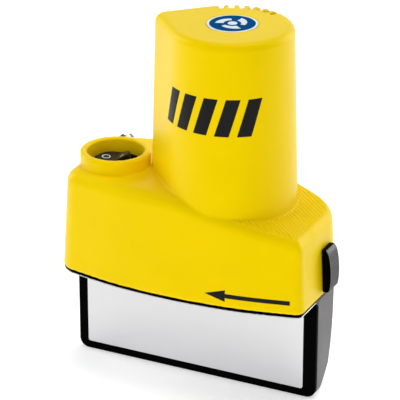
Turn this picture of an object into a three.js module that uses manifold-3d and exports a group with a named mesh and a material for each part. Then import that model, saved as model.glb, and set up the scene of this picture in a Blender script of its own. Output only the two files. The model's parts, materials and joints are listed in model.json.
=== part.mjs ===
// Hand-held motorised ski edge tuner: a moulded body with a motor tower, a switch collar, a grinding
// disc under the body, and a tilting guide with a slide plate that runs along the ski base.
//
// Millimetres, +Z up, +X along the guide (the tool is pushed towards -X), -Y to the front.
// While it is drawn, y = 0 is the guide's running face, x = 0 is the guide's middle and z = 0 is the
// surface that the guide stands on. The last lines move the assembly so that the origin lies in the
// middle of the guide's foot.

import * as THREE from 'three';
import { mergeVertices } from 'three/addons/utils/BufferGeometryUtils.js';
import Module from 'manifold-3d';

const wasm = await Module();
wasm.setup();

// ---------------------------------------------------------------- driving dimensions

const GAP = 0.3;                  // clearance between parts that touch or slide
const WALL = 2.6;                 // moulded wall thickness
const RING = 32;                  // segments of a large round part
const SMALL_RING = 12;            // segments of a small round part
const SCREW_RING = 7;             // segments of a screw

const GUIDE_LEFT = -57.4;         // ends of the guide
const GUIDE_RIGHT = 56.5;
const FRAME_TOP = 43.8;           // top of the front frame
const SHELL_TOP = 44.2;
const SHELL_DEPTH = 19.1;         // back of the shell at its top
const CHEEK_TOP = 46.1;           // top of the cheeks that stand on the shell's ends
const CHEEK_X = 53.8;             // inner side of a cheek
const GUIDE_CORNER = 4.4;         // radius of the guide's lower corners, seen from the front
const GUIDE_TILT_Y = 8.3;         // hinge axis of the guide
const GUIDE_TILT_Z = 38.5;
const FRAME_DEPTH = 2.3;          // depth of the black front frame at its rim
const PLATE_LEFT = -52.8;         // slide plate
const PLATE_RIGHT = 50.8;
const PLATE_BOTTOM = 3.8;
const WEB_BACK = 5.0;             // back of the frame's web, inside the guide shell
const WEB_HALF = 48.4;
const PLATE_THICK = 1.5;
const FOOT_Y = 3.7;               // middle of the flat strip under the guide shell
const FOOT_END_Y = 4.8;           // back of that strip
const SHELL_WALL = 2.2;
const LUG_X = [44.5, 48.5];       // hinge lugs of the guide, mirrored to the left

const RIM_Z = 46.5;               // lower rim of the body
const DECK_Z = 91;                // top of the body, over its level left part
const DECK_BREAK_X = 2.15;        // from here the deck slopes down to the right
const DECK_SLOPE = 0.23;
const DRAFT = Math.tan(2.6 * Math.PI / 180);
const LEFT_LEAN = 0.0003;         // further lean of the left end, per millimetre of x and of height
const DECK_FILLET = 3.6;
const FILLET_STEPS = 3;           // facets of a rounded edge

const WEAR_Z = 44.6;              // underside of the steel wear plate, the stop for the ski's side edge
const WEAR_THICK = 0.5;
const PLATE_Z = 45.2;             // underside of the black base plate
const PLATE_STEP_Z = 46.2;        // top of its visible flange
const PLATE_TOP_Z = 47.9;

const AXIS_X = 12.85;             // motor, tower and disc axis
const AXIS_Y = 8;
const TOWER_TOP = 160.2;
const TOWER_R = 26;               // radius of the tower at its top
const TOWER_TIP = 5.3;            // radius of its corner, which points to -X
const TOWER_DRAFT = Math.tan(1.6 * Math.PI / 180);
const TOWER_FILLET = 3.3;         // its rounded top edge
const TOWER_FOOT_Z = 70;          // the tower runs down inside the body to here
const TOWER_STEPS = 27;           // facets of its round side
const TIP_STEPS = 5;              // facets of its corner
const VENT_COUNT = 7;
const VENT_MIDDLE = 94.6;         // bearing of the middle vent, and the step between them, in degrees
const VENT_STEP = 10.6;
const VENT_WIDTH = 2.4;
const VENT_DEPTH = 6;
const LABEL_R = 10.6;
const LABEL_Y = 8.6;

const COLLAR_X = -39.35;          // switch collar
const COLLAR_Y = 3;
const COLLAR_TOP = 96.9;
const COLLAR_R = 15.2;
const WELL_R = 12.4;
const WELL_FLOOR = 89;
const SWITCH_R = 9.85;            // barrel of a standard 20 mm round rocker switch
const ROCKER_R = 7.4;
const ROCKER_MOUTH_R = 8.6;       // leaves the rocker room to tilt both ways
const ROCKER_CREST = 4.9;         // height of the rocker's fold over its pivot
const ROCKER_TILT = 12 * Math.PI / 180;

const DISC_R = 25;
const DISC_FACE_Z = WEAR_Z + 0.1;
const SHAFT_R = 2.5;
const MOTOR_R = 21;
const MOTOR_Z = 77.5;             // lower end of the motor can
const MOTOR_TOP = 140;
const MOUNT_Z = 74;               // underside of the motor mount
const MOUNT_THICK = 3;
const MOUNT_HALF = 18;            // its screws stand this far from the axis in x and in y

const LATCH_YAW = 0.66 * Math.PI / 180;   // the end wall turns away by this much in plan
const LATCH_PITCH = -2.6 * Math.PI / 180; // and leans in by its draft
const LATCH_X = 55.72;            // middle of the latch on the outside of the end wall
const LATCH_Y = 11.05;
const LATCH_Z = 57.2;
const LATCH_TOP = 10.1;           // ends of the thumb piece over and under that point
const LATCH_FOOT = -9.3;
const LATCH_WIDTH = 9;
const LATCH_CREST = 4.4;          // how far its bowed face stands out in the middle
const LATCH_BOW = 0.012;          // its bow, per square of the height over the middle
const LATCH_RIBS = 15;
const LATCH_RIB_DEPTH = 0.35;
const LATCH_TRAVEL = 5;

const INLET_X = -47.8;            // power inlet on the rounded back-left corner
const INLET_Y = 33.15;
const INLET_Z = 83;
const INLET_AZIMUTH = 130 * Math.PI / 180;
const INLET_R = 4.8;
const INLET_END = 10.5;           // length of the inlet outside the wall

// ---------------------------------------------------------------- materials

const surface = (color, roughness, metalness = 0) =>
  new THREE.MeshStandardMaterial({ color, roughness, metalness });

const YELLOW = surface(0xf3d400, 0.42);
const BLACK = surface(0x0c0c0d, 0.3);
const GREY = surface(0x55565a, 0.6);
const BLUE = surface(0x1d5aa6, 0.4);
const SILVER = surface(0xd8d9dc, 0.35, 0.9);
const STEEL = surface(0xa9abad, 0.35, 1);
const CHROME = surface(0xe6e7e9, 0.12, 1);
const BRASS = surface(0xc9a548, 0.3, 1);
const ALUMINIUM = surface(0xb9bcc0, 0.45, 1);
const ABRASIVE = surface(0x8c4a2f, 0.95);
const CARBON = surface(0x232323, 0.8);
const RED_LEAD = surface(0xb0201c, 0.5);
const BLACK_LEAD = surface(0x151515, 0.5);

// ---------------------------------------------------------------- solids

function solid(geometry) {
  const plain = geometry.clone();
  plain.deleteAttribute('normal');
  plain.deleteAttribute('uv');
  const merged = mergeVertices(plain, 1e-4);
  const index = Array.from(merged.index.array);
  const triangles = [];
  for (let i = 0; i < index.length; i += 3) {
    const [a, b, c] = index.slice(i, i + 3);
    if (a !== b && b !== c && c !== a) triangles.push(a, b, c);
  }
  const mesh = new wasm.Mesh({
    numProp: 3,
    vertProperties: new Float32Array(merged.attributes.position.array),
    triVerts: new Uint32Array(triangles),
  });
  mesh.merge();
  return new wasm.Manifold(mesh);
}

function geometryOf(body) {
  const mesh = body.getMesh();
  const geometry = new THREE.BufferGeometry();
  geometry.setAttribute('position', new THREE.BufferAttribute(new Float32Array(mesh.vertProperties), 3));
  geometry.setIndex(new THREE.BufferAttribute(new Uint32Array(mesh.triVerts), 1));
  geometry.computeVertexNormals();
  return geometry;
}

function box(x0, x1, y0, y1, z0, z1) {
  const geometry = new THREE.BoxGeometry(x1 - x0, y1 - y0, z1 - z0);
  geometry.translate((x0 + x1) / 2, (y0 + y1) / 2, (z0 + z1) / 2);
  return solid(geometry);
}

function postGeometry(radius, z0, z1, segments = SMALL_RING) {
  const geometry = new THREE.CylinderGeometry(radius, radius, z1 - z0, segments);
  geometry.rotateX(Math.PI / 2);
  geometry.translate(0, 0, (z0 + z1) / 2);
  return geometry;
}

// a round post along Z
function post(radius, z0, z1, x = 0, y = 0, segments = SMALL_RING) {
  return solid(postGeometry(radius, z0, z1, segments).translate(x, y, 0));
}

// a round post along X
function postX(radius, x0, x1, y, z) {
  return solid(postGeometry(radius, x0, x1).rotateY(Math.PI / 2).translate(0, y, z));
}

// a round post along Y
function postY(radius, y0, y1, x, z) {
  return solid(postGeometry(radius, -y1, -y0).rotateX(Math.PI / 2).translate(x, 0, z));
}

// a body of revolution about Z, from [radius, z] points of a closed outline
function revolve(outline, segments = RING) {
  const points = outline.map(([r, z]) => new THREE.Vector2(r, z));
  points.push(points[0].clone());
  const geometry = new THREE.LatheGeometry(points, segments);
  geometry.rotateX(Math.PI / 2);
  const body = solid(geometry);
  return body.volume() < 0 ? solid(flipped(geometry)) : body;
}

function flipped(geometry) {
  const copy = geometry.clone();
  const index = Array.from(copy.index.array);
  for (let i = 0; i < index.length; i += 3) {
    [index[i + 1], index[i + 2]] = [index[i + 2], index[i + 1]];
  }
  copy.setIndex(index);
  return copy;
}

function tube(outer, inner, z0, z1, segments = SMALL_RING) {
  return revolve([[inner, z0], [outer, z0], [outer, z1], [inner, z1]], segments);
}

function extrude(points, depth) {
  const shape = new THREE.Shape(points);
  return new THREE.ExtrudeGeometry(shape, { depth, bevelEnabled: false });
}

// a straight prism on a plan outline of [x, y] points
function prism(outline, z0, z1) {
  const geometry = extrude(outline.map(([x, y]) => new THREE.Vector2(x, y)), z1 - z0);
  return solid(geometry.translate(0, 0, z0));
}

// a prism along X on a side outline of [y, z] points
function prismX(outline, x0, x1) {
  const geometry = extrude(outline.map(([y, z]) => new THREE.Vector2(y, z)), x1 - x0);
  geometry.applyMatrix4(new THREE.Matrix4().makeBasis(
    new THREE.Vector3(0, 1, 0), new THREE.Vector3(0, 0, 1), new THREE.Vector3(1, 0, 0)));
  return solid(geometry.translate(x0, 0, 0));
}

// a closed skin over a stack of rings with equal numbers of points; the last ring is split into two
// flat caps along the line between two of its points, when they are given
function loft(rings, split = null) {
  const count = rings[0].length;
  const positions = rings.flat().flatMap(([x, y, z]) => [x, y, z]);
  const index = [];
  for (let k = 0; k + 1 < rings.length; k += 1) {
    for (let i = 0; i < count; i += 1) {
      const a = k * count + i;
      const b = k * count + (i + 1) % count;
      index.push(a, b, b + count, a, b + count, a + count);
    }
  }
  const cap = (ring, members, up) => {
    const flat = members.map((i) => new THREE.Vector2(rings[ring][i][0], rings[ring][i][1]));
    for (const [a, b, c] of THREE.ShapeUtils.triangulateShape(flat, [])) {
      const [p, q, r] = [members[a], members[b], members[c]].map((i) => ring * count + i);
      index.push(...(up ? [p, q, r] : [p, r, q]));
    }
  };
  const all = [...Array(count).keys()];
  cap(0, all, false);
  if (split) {
    const [from, to] = split;
    cap(rings.length - 1, all.filter((i) => i >= from && i <= to), true);
    cap(rings.length - 1, all.filter((i) => i <= from || i >= to), true);
  } else {
    cap(rings.length - 1, all, true);
  }
  const geometry = new THREE.BufferGeometry();
  geometry.setAttribute('position', new THREE.Float32BufferAttribute(positions, 3));
  geometry.setIndex(index);
  return solid(geometry);
}

const union = (bodies) => bodies.reduce((sum, body) => sum.add(body));
const cut = (body, tools) => tools.reduce((rest, tool) => rest.subtract(tool), body);

// ---------------------------------------------------------------- assembly

const assembly = new THREE.Group();

function add(name, body, material, parent = assembly) {
  const mesh = new THREE.Mesh(geometryOf(body), material);
  mesh.name = name;
  parent.add(mesh);
  return mesh;
}

// a screw along +Z with its head below z = 0: a shank, a head and a hexagon socket
function screwBody(shankR, length, headR, headHeight) {
  const socket = post(headR * 0.5, -headHeight - 1, -headHeight * 0.45, 0, 0, 4);
  const shank = post(shankR, -0.2, length, 0, 0, SCREW_RING);
  const head = post(headR, -headHeight, 0, 0, 0, 2 * SCREW_RING);
  return cut(union([shank, head]), [socket]);
}

// ---------------------------------------------------------------- body outline

// corners of the lower rim, counter-clockwise from the front left: x, y and corner radius
const RIM = [
  [-58.1, -16.5, 10],
  [-27.85, -22.6, 160],
  [0.15, -24, 200],
  [30.15, -21.6, 160],
  [56.5, -15.3, 4],
  [56, 28.3, 16],
  [24, 38, 60],
  [-12, 41.2, 80],
  [-51, 36.5, 12],
  [-58.05, 6, 40],
];
const CORNER_STEPS = 5;
const LEAST_CORNER = 0.6;

// the rim moved inwards, as [x, y] points: each corner is an arc about its own centre
function rimOutline(inset) {
  const points = [];
  RIM.forEach(([x, y, radius], i) => {
    const corner = new THREE.Vector2(x, y);
    const before = new THREE.Vector2(...RIM.at(i - 1)).sub(corner).normalize();
    const after = new THREE.Vector2(...RIM[(i + 1) % RIM.length]).sub(corner).normalize();
    const half = Math.acos(before.dot(after)) / 2;
    const bisector = before.clone().add(after).normalize();
    const r = Math.max(radius - inset, LEAST_CORNER);
    const centre = corner.clone().addScaledVector(bisector, (inset + r) / Math.sin(half));
    const middle = Math.atan2(-bisector.y, -bisector.x);
    const sweep = Math.PI / 2 - half;
    for (let k = 0; k <= CORNER_STEPS; k += 1) {
      const angle = middle + sweep * (2 * k / CORNER_STEPS - 1);
      points.push([centre.x + r * Math.cos(angle), centre.y + r * Math.sin(angle)]);
    }
  });
  return points;
}

const deckHeight = (x) => DECK_Z - DECK_SLOPE * Math.max(0, x - DECK_BREAK_X);
const leaned = (x, z) => (x < 0 ? x * (1 - LEFT_LEAN * (z - RIM_Z)) : x);

// the body without its tower: drafted sides and a filleted deck, moved inwards by inset
function bodyBlock(inset, fillet, floorZ) {
  const ring = (extra, heightOf) => rimOutline(inset + extra).map(([x, y]) =>
    [leaned(x, heightOf(x)), y, heightOf(x)]);
  const draftInset = (DECK_Z - RIM_Z) * DRAFT;
  const rings = [ring(0, () => floorZ)];
  const steps = fillet > 0 ? FILLET_STEPS : 0;
  for (let k = 0; k <= steps; k += 1) {
    const angle = steps ? k / steps * Math.PI / 2 : 0;
    const extra = draftInset + fillet * (1 - Math.cos(angle));
    const sink = inset + fillet * (1 - Math.sin(angle));
    rings.push(ring(extra, (x) => deckHeight(x) - sink));
  }
  const top = rings.at(-1);
  const nearest = (chosen) => chosen.reduce((best, i) =>
    (Math.abs(top[i][0] - DECK_BREAK_X) < Math.abs(top[best][0] - DECK_BREAK_X) ? i : best));
  const ids = [...top.keys()];
  const front = nearest(ids.filter((i) => top[i][1] < 0));
  const back = nearest(ids.filter((i) => top[i][1] > 0));
  return loft(rings, [front, back]);
}

// a tower section: a circle whose tangents meet in a rounded right-angled corner towards -X
function towerSection(radius, tip, z) {
  const points = [];
  const reach = Math.SQRT2 * (radius - tip);
  for (let k = 0; k <= TOWER_STEPS; k += 1) {
    const angle = (-135 + 270 * k / TOWER_STEPS) * Math.PI / 180;
    points.push([AXIS_X + radius * Math.cos(angle), AXIS_Y + radius * Math.sin(angle), z]);
  }
  for (let k = 0; k <= TIP_STEPS; k += 1) {
    const angle = (135 + 90 * k / TIP_STEPS) * Math.PI / 180;
    points.push([AXIS_X - reach + tip * Math.cos(angle), AXIS_Y + tip * Math.sin(angle), z]);
  }
  return points;
}

function towerBlock(inset, fillet, footZ) {
  const radiusAt = (z) => TOWER_R + (TOWER_TOP - z) * TOWER_DRAFT - inset;
  const tipAt = (z) => TOWER_TIP + (TOWER_TOP - z) * TOWER_DRAFT - inset;
  const topZ = TOWER_TOP - inset;
  const rings = [towerSection(radiusAt(footZ), tipAt(footZ), footZ)];
  const steps = fillet > 0 ? FILLET_STEPS : 0;
  for (let k = 0; k <= steps; k += 1) {
    const angle = steps ? k / steps * Math.PI / 2 : 0;
    const z = topZ - fillet * (1 - Math.sin(angle));
    const extra = fillet * (1 - Math.cos(angle));
    rings.push(towerSection(radiusAt(z) - extra, tipAt(z) - extra, z));
  }
  return loft(rings);
}

// ---------------------------------------------------------------- places of the fasteners

const BASE_SCREWS = [[-51.5, -10], [-46, 28], [50.4, -10.7], [43.2, 25.3]];
const MOUNT_SCREWS = [[-1, -1], [1, -1], [1, 1], [-1, 1]].map(([sx, sy]) =>
  [AXIS_X + sx * MOUNT_HALF, AXIS_Y + sy * MOUNT_HALF]);
const GUIDE_SCREWS = [[-38, 14], [38, 14], [-38, 33], [38, 33]];
const BOSS_R = 4.3;
const MOUNT_BOSS_R = 3.6;
const BOSS_TOP = 70;
const SCREW_R = 1.5;

// places a body along the inlet's axis, s = 0 on the outside of the wall
function alongInlet(body) {
  const degrees = INLET_AZIMUTH * 180 / Math.PI;
  return body.rotate([0, 90, degrees]).translate([INLET_X, INLET_Y, INLET_Z]);
}

// places a body on the end wall: local +X points out of the wall and local +Z up along it
function onEndWall(body) {
  const degrees = 180 / Math.PI;
  return body.rotate([0, LATCH_PITCH * degrees, LATCH_YAW * degrees])
    .translate([LATCH_X, LATCH_Y, LATCH_Z]);
}

// ---------------------------------------------------------------- housing

function housing() {
  const inletPad = alongInlet(post(6.3, -5.9, 0.2));
  const outside = union([
    bodyBlock(0, DECK_FILLET, RIM_Z),
    towerBlock(0, TOWER_FILLET, TOWER_FOOT_Z),
    post(COLLAR_R, WELL_FLOOR - WALL, COLLAR_TOP, COLLAR_X, COLLAR_Y, RING),
    inletPad,
  ]);
  const inside = union([
    bodyBlock(WALL, 0, RIM_Z - 1),
    towerBlock(WALL, 0, TOWER_FOOT_Z),
  ]);
  const bosses = [
    ...BASE_SCREWS.map(([x, y]) => post(BOSS_R, PLATE_TOP_Z + GAP, BOSS_TOP, x, y)),
    ...MOUNT_SCREWS.map(([x, y]) => post(MOUNT_BOSS_R, MOUNT_Z + MOUNT_THICK + GAP, deckHeight(x) - 1, x, y)),
    post(COLLAR_R, WELL_FLOOR - WALL, WELL_FLOOR + 1, COLLAR_X, COLLAR_Y, RING),
    inletPad,
  ];
  const holes = [
    ...BASE_SCREWS.map(([x, y]) => post(SCREW_R + GAP, RIM_Z, RIM_Z + 13, x, y)),
    ...MOUNT_SCREWS.map(([x, y]) => post(SCREW_R + GAP, MOUNT_Z, MOUNT_Z + 7.2, x, y)),
    post(WELL_R, WELL_FLOOR, COLLAR_TOP + 1, COLLAR_X, COLLAR_Y, RING),
    post(SWITCH_R + GAP, WELL_FLOOR - 5, WELL_FLOOR + 1, COLLAR_X, COLLAR_Y, RING),
    post(LABEL_R + GAP, TOWER_TOP - 0.6, TOWER_TOP + 1, AXIS_X, LABEL_Y, RING),
    alongInlet(post(INLET_R + GAP, -12, 4)),
    onEndWall(box(-8, 2, -2.3, 2.3, -7.5, 4 + LATCH_TRAVEL)),
    ...vents(),
  ];
  const shell = outside.subtract(inside);
  return cut(union([shell, ...bosses.map((boss) => boss.intersect(outside))]), holes);
}

// cooling slots through the top edge at the back of the tower
function vents() {
  return Array.from({ length: VENT_COUNT }, (_, k) => {
    const degrees = VENT_MIDDLE + (k - (VENT_COUNT - 1) / 2) * VENT_STEP;
    return box(TOWER_R - VENT_DEPTH, TOWER_R + 4, -VENT_WIDTH / 2, VENT_WIDTH / 2, TOWER_TOP - 4,
      TOWER_TOP + 1).rotate([0, 0, degrees])
      .translate([AXIS_X, AXIS_Y, 0]);
  });
}

// ---------------------------------------------------------------- base plate and its screws

// what both base plates leave open: the disc, the angle lock and the guide's end cheeks
function baseOpenings() {
  const notch = (x0, x1) => box(x0, x1, 1.8, SHELL_DEPTH + 2.4, WEAR_Z - 1, PLATE_STEP_Z + 0.4);
  return [
    post(DISC_R + 1, WEAR_Z - 1, PLATE_TOP_Z + 1, AXIS_X, AXIS_Y, RING),
    ...BASE_SCREWS.map(([x, y]) => post(3.1, WEAR_Z - 1, WEAR_Z + 1.7, x, y)),
    onEndWall(box(-7.2, -1.5, -3.6, 3.6, -16, -5)),
    notch(CHEEK_X - GAP, GUIDE_RIGHT + 5),
    notch(GUIDE_LEFT - 5, -CHEEK_X + GAP),
  ];
}

function basePlate() {
  const lug = (x0, x1) => union([
    postX(2.5, x0, x1, GUIDE_TILT_Y, GUIDE_TILT_Z),
    box(x0, x1, GUIDE_TILT_Y - 2.5, GUIDE_TILT_Y + 2.5, GUIDE_TILT_Z, PLATE_STEP_Z),
  ]).subtract(postX(SCREW_R + GAP, x0 - 1, x1 + 1, GUIDE_TILT_Y, GUIDE_TILT_Z));
  const plate = union([
    prism(rimOutline(0.3), PLATE_Z, PLATE_STEP_Z),
    prism(rimOutline(WALL + 0.45), PLATE_STEP_Z - 0.2, PLATE_TOP_Z),
    lug(LUG_X[0], LUG_X[1]),
    lug(-LUG_X[1], -LUG_X[0]),
  ]);
  return cut(plate, [
    ...BASE_SCREWS.map(([x, y]) => post(SCREW_R + GAP, PLATE_Z - 1, PLATE_TOP_Z + 1, x, y)),
    ...baseOpenings(),
  ]);
}

function wearPlate() {
  const lugHole = (x0, x1) =>
    box(x0 - GAP, x1 + GAP, GUIDE_TILT_Y - 2.8, GUIDE_TILT_Y + 2.8, WEAR_Z - 1, PLATE_Z);
  return cut(prism(rimOutline(0.5), WEAR_Z, WEAR_Z + WEAR_THICK), [
    lugHole(LUG_X[0], LUG_X[1]),
    lugHole(-LUG_X[1], -LUG_X[0]),
    ...baseOpenings(),
  ]);
}

// ---------------------------------------------------------------- guide

const bezier = (a, b, c, d, t) => {
  const s = 1 - t;
  return a * s ** 3 + 3 * b * s * s * t + 3 * c * s * t * t + d * t ** 3;
};

// side outline of the guide shell: flat front, narrow foot, a slanting lower back, an upper back that
// bulges a little, and a top that drops to the front so that it clears the wear plate when the guide tilts
function shellOutline(inset) {
  const steps = 8;
  const front = FRAME_DEPTH + GAP + (inset ? -5 : 0);
  const points = [[front, inset], [FOOT_END_Y - inset * 0.4, inset]];
  for (let k = 0; k <= steps; k += 1) {
    const t = k / steps;
    points.push([bezier(14.3, 15.7, 18.8, SHELL_DEPTH, t) - inset * (0.73 + 0.3 * t),
      bezier(11, 15, 24, SHELL_TOP, t) + inset * (0.69 - 1.69 * t)]);
  }
  points.push([GUIDE_TILT_Y, SHELL_TOP - inset], [front, FRAME_TOP - inset]);
  return points;
}

// front outline of the guide, [x, z], with rounded lower corners
function guideFront(top, topRadius) {
  const points = [];
  const corners = [[GUIDE_RIGHT - GUIDE_CORNER, GUIDE_CORNER, GUIDE_CORNER, -90],
    [GUIDE_RIGHT - topRadius, top - topRadius, topRadius, 0],
    [GUIDE_LEFT + topRadius, top - topRadius, topRadius, 90],
    [GUIDE_LEFT + GUIDE_CORNER, GUIDE_CORNER, GUIDE_CORNER, 180]];
  const steps = 4;
  for (const [x, z, radius, start] of corners) {
    for (let k = 0; k <= steps; k += 1) {
      const angle = (start + 90 * k / steps) * Math.PI / 180;
      points.push([x + radius * Math.cos(angle), z + radius * Math.sin(angle)]);
    }
  }
  return points;
}

// a prism along Y on a front outline of [x, z] points
function prismY(outline, y0, y1) {
  return prism(outline, y0, y1).rotate([90, 0, 0]).mirror([0, 1, 0]);
}

const mirrored = (body) => [body, body.mirror([1, 0, 0])];

// tongue of an end cheek, or with a clearance the slot for it in the shell
const cheekTongue = (clearance) =>
  box(54.6 - clearance, 55.5 + clearance, 9 - clearance, 15 + clearance, 42.6 - clearance, SHELL_TOP + 0.1);

function guideShell() {
  const rounded = prismY(guideFront(SHELL_TOP + 5, 1), -20, 20);
  const outer = prismX(shellOutline(0), GUIDE_LEFT, GUIDE_RIGHT).intersect(rounded);
  const solidEnds = [[GUIDE_LEFT, GUIDE_LEFT + 8], [GUIDE_RIGHT - 8, GUIDE_RIGHT]].map(([x0, x1]) =>
    box(x0, x1, -20, 20, -1, GUIDE_CORNER + 1));
  const cavity = cut(prismX(shellOutline(SHELL_WALL), GUIDE_LEFT + SHELL_WALL, GUIDE_RIGHT - SHELL_WALL),
    solidEnds);
  const rib = box(42, 44.2, WEB_BACK + GAP, 20, 30, SHELL_TOP).intersect(outer);
  const bosses = GUIDE_SCREWS.map(([x, z]) => postY(3.2, WEB_BACK + GAP, 20, x, z).intersect(outer));
  const lugSlot = box(LUG_X[0] - GAP, LUG_X[1] + GAP, GUIDE_TILT_Y - 3.4, GUIDE_TILT_Y + 3.4,
    SHELL_TOP - 6, SHELL_TOP + 1);
  const pinHole = postX(SCREW_R + GAP, 41, 55.4, GUIDE_TILT_Y, GUIDE_TILT_Z);
  const screwHoles = GUIDE_SCREWS.map(([x, z]) => postY(1.5, 4, z < 20 ? 9 : 12.5, x, z));
  return cut(union([outer.subtract(cavity), ...mirrored(rib), ...bosses]),
    [...mirrored(lugSlot), ...mirrored(pinHole), ...mirrored(cheekTongue(0.1)), ...screwHoles]);
}

// the cheek on the shell's right end; the left one is its mirror image, a little longer
function guideCheek(end) {
  const front = FRAME_DEPTH + GAP;
  const outline = [[front, FRAME_TOP], [GUIDE_TILT_Y, SHELL_TOP], [SHELL_DEPTH, SHELL_TOP],
    [SHELL_DEPTH, CHEEK_TOP], [9, CHEEK_TOP], [front, CHEEK_TOP - 0.3]];
  return union([prismX(outline, CHEEK_X, end), cheekTongue(0)]);
}

function guideFrame() {
  const rim = prismY(guideFront(FRAME_TOP, 0.6), 0.15, FRAME_DEPTH);
  const web = box(-WEB_HALF, WEB_HALF, FRAME_DEPTH - 0.6, WEB_BACK, 3.6, FRAME_TOP - 3)
    .intersect(prismX(shellOutline(SHELL_WALL + 0.5), GUIDE_LEFT, GUIDE_RIGHT));
  const pocket = box(PLATE_LEFT - GAP, PLATE_RIGHT + GAP, -1, PLATE_THICK + GAP, PLATE_BOTTOM - GAP,
    FRAME_TOP + 1);
  const heads = GUIDE_SCREWS.map(([x, z]) => postY(2.5, 0, PLATE_THICK + 1.9, x, z));
  const holes = GUIDE_SCREWS.map(([x, z]) => postY(1.5, 0, 8, x, z));
  return cut(union([rim, web]), [pocket, ...heads, ...holes]);
}

function slidePlate() {
  return box(PLATE_LEFT, PLATE_RIGHT, 0, PLATE_THICK, PLATE_BOTTOM, FRAME_TOP - 0.4);
}

// ---------------------------------------------------------------- end latch

// thumb piece: a bowed, ribbed face, chamfered at its top, on a stem that reaches through the end wall
function latchSlider() {
  const outline = [[GAP, LATCH_FOOT], [2.2, LATCH_FOOT], [3.1, LATCH_FOOT + 0.8]];
  const low = LATCH_FOOT + 1.6;
  const high = LATCH_TOP - 1.8;
  for (let k = 0; k <= 2 * LATCH_RIBS; k += 1) {
    const w = low + (high - low) * k / (2 * LATCH_RIBS);
    const bow = LATCH_CREST - LATCH_BOW * w ** 2;
    outline.push([bow - (k % 2 ? LATCH_RIB_DEPTH : 0), w]);
  }
  outline.push([3.2, LATCH_TOP - 0.9], [2.3, LATCH_TOP], [GAP, LATCH_TOP]);
  const face = extrude(outline.map(([u, w]) => new THREE.Vector2(u, w)), LATCH_WIDTH);
  face.rotateX(Math.PI / 2);
  face.translate(0, LATCH_WIDTH / 2, 0);
  const stem = box(-WALL - 1.2, 1, -2, 2, -7.2 + GAP, 3.4);
  const screwHole = solid(postGeometry(1.3, -9, -0.5).rotateY(Math.PI / 2).translate(0, 0, -2));
  return onEndWall(cut(union([solid(face), stem]), [screwHole]));
}

// steel bar inside the end wall, whose foot clamps down on the guide
function latchBar() {
  const bar = union([
    box(-5.4, -4.1, -3, 3, -10.6, 3),
    box(-5.4, -3.1, -3, 3, -12.3, -10.6),
  ]);
  const hole = solid(postGeometry(1.3, -9, 0).rotateY(Math.PI / 2).translate(0, 0, -2));
  return onEndWall(bar.subtract(hole));
}

function latchScrew() {
  const body = screwBody(1, 3.6, 2, 1.4).rotate([0, 90, 0]).translate([-5.7, 0, -2]);
  return onEndWall(body);
}

// ---------------------------------------------------------------- switch

function switchBezel() {
  return tube(11.5, ROCKER_MOUTH_R, WELL_FLOOR + GAP, WELL_FLOOR + 2, RING)
    .translate([COLLAR_X, COLLAR_Y, 0]);
}

function switchBody() {
  const barrel = post(SWITCH_R, WELL_FLOOR - 17, WELL_FLOOR - 0.1, 0, 0, RING);
  const mouth = post(ROCKER_MOUTH_R, WELL_FLOOR - 9, WELL_FLOOR + 3, 0, 0, RING);
  return cut(barrel, [mouth]).translate([COLLAR_X, COLLAR_Y, 0]);
}

// round rocker: two flat faces that meet in a shallow V, tilted so that its right edge stands up
function switchRocker() {
  const edge = ROCKER_CREST + 2.2;
  const side = [[8, -0.8], [8, edge], [0, ROCKER_CREST], [-8, edge], [-8, -0.8], [0, -2.6]];
  const geometry = extrude(side.map(([x, z]) => new THREE.Vector2(x, z)), 20);
  geometry.rotateX(Math.PI / 2);
  geometry.translate(0, 10, 0);
  return solid(geometry).intersect(post(ROCKER_R, -5, 9, 0, 0, RING))
    .rotate([0, -ROCKER_TILT * 180 / Math.PI, 0])
    .translate([COLLAR_X, COLLAR_Y, WELL_FLOOR - 1.4]);
}

function switchTerminal(side) {
  const x = COLLAR_X + side * 4.5;
  return box(x - 0.4, x + 0.4, COLLAR_Y - 2.4, COLLAR_Y + 2.4, WELL_FLOOR - 25, WELL_FLOOR - 17 - GAP);
}

// ---------------------------------------------------------------- power inlet

function inletBarrel() {
  return alongInlet(revolve([
    [3.4, -9.6], [INLET_R, -9.6], [INLET_R, 0.5], [6, 0.5], [6, 2], [INLET_R, 2.4],
    [INLET_R, INLET_END - 0.6], [4.4, INLET_END], [3.4, INLET_END],
  ], RING));
}

function inletNut() {
  return alongInlet(cut(post(6, -9, -6.2, 0, 0, 6), [post(INLET_R + GAP, -10, -4)]));
}

function inletInsulator() {
  return alongInlet(cut(post(3.1, -10.4, 4), [post(0.95 + GAP, -12, 5)]));
}

function inletPin() {
  return alongInlet(post(0.95, -12, INLET_END - 1.6));
}

// ---------------------------------------------------------------- motor, drawn on its own axis

const MOTOR_SCREWS = [[-12.5, 0], [12.5, 0]];

function motorCan() {
  const can = revolve([
    [6.2, MOTOR_Z], [MOTOR_R, MOTOR_Z], [MOTOR_R, MOTOR_TOP], [MOTOR_R - 1.2, MOTOR_TOP],
    [MOTOR_R - 1.2, MOTOR_Z + 2.4], [6.2, MOTOR_Z + 2.4],
  ]);
  return cut(can, MOTOR_SCREWS.map(([x, y]) => post(SCREW_R + GAP, MOTOR_Z - 1, MOTOR_Z + 4, x, y)));
}

function motorEndCap() {
  const cap = revolve([
    [4.6, MOTOR_TOP - 3], [MOTOR_R - 1.5, MOTOR_TOP - 3], [MOTOR_R - 1.5, MOTOR_TOP + GAP],
    [MOTOR_R, MOTOR_TOP + GAP], [MOTOR_R - 1, MOTOR_TOP + 3.4], [8, MOTOR_TOP + 3.4],
    [7, MOTOR_TOP + 5], [4.6, MOTOR_TOP + 5],
  ]);
  const slots = [-1, 1].map((side) =>
    box(side * 13 - 0.75, side * 13 + 0.75, -2.8, 2.8, MOTOR_TOP - 4, MOTOR_TOP + 6));
  return cut(cap, slots);
}

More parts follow.
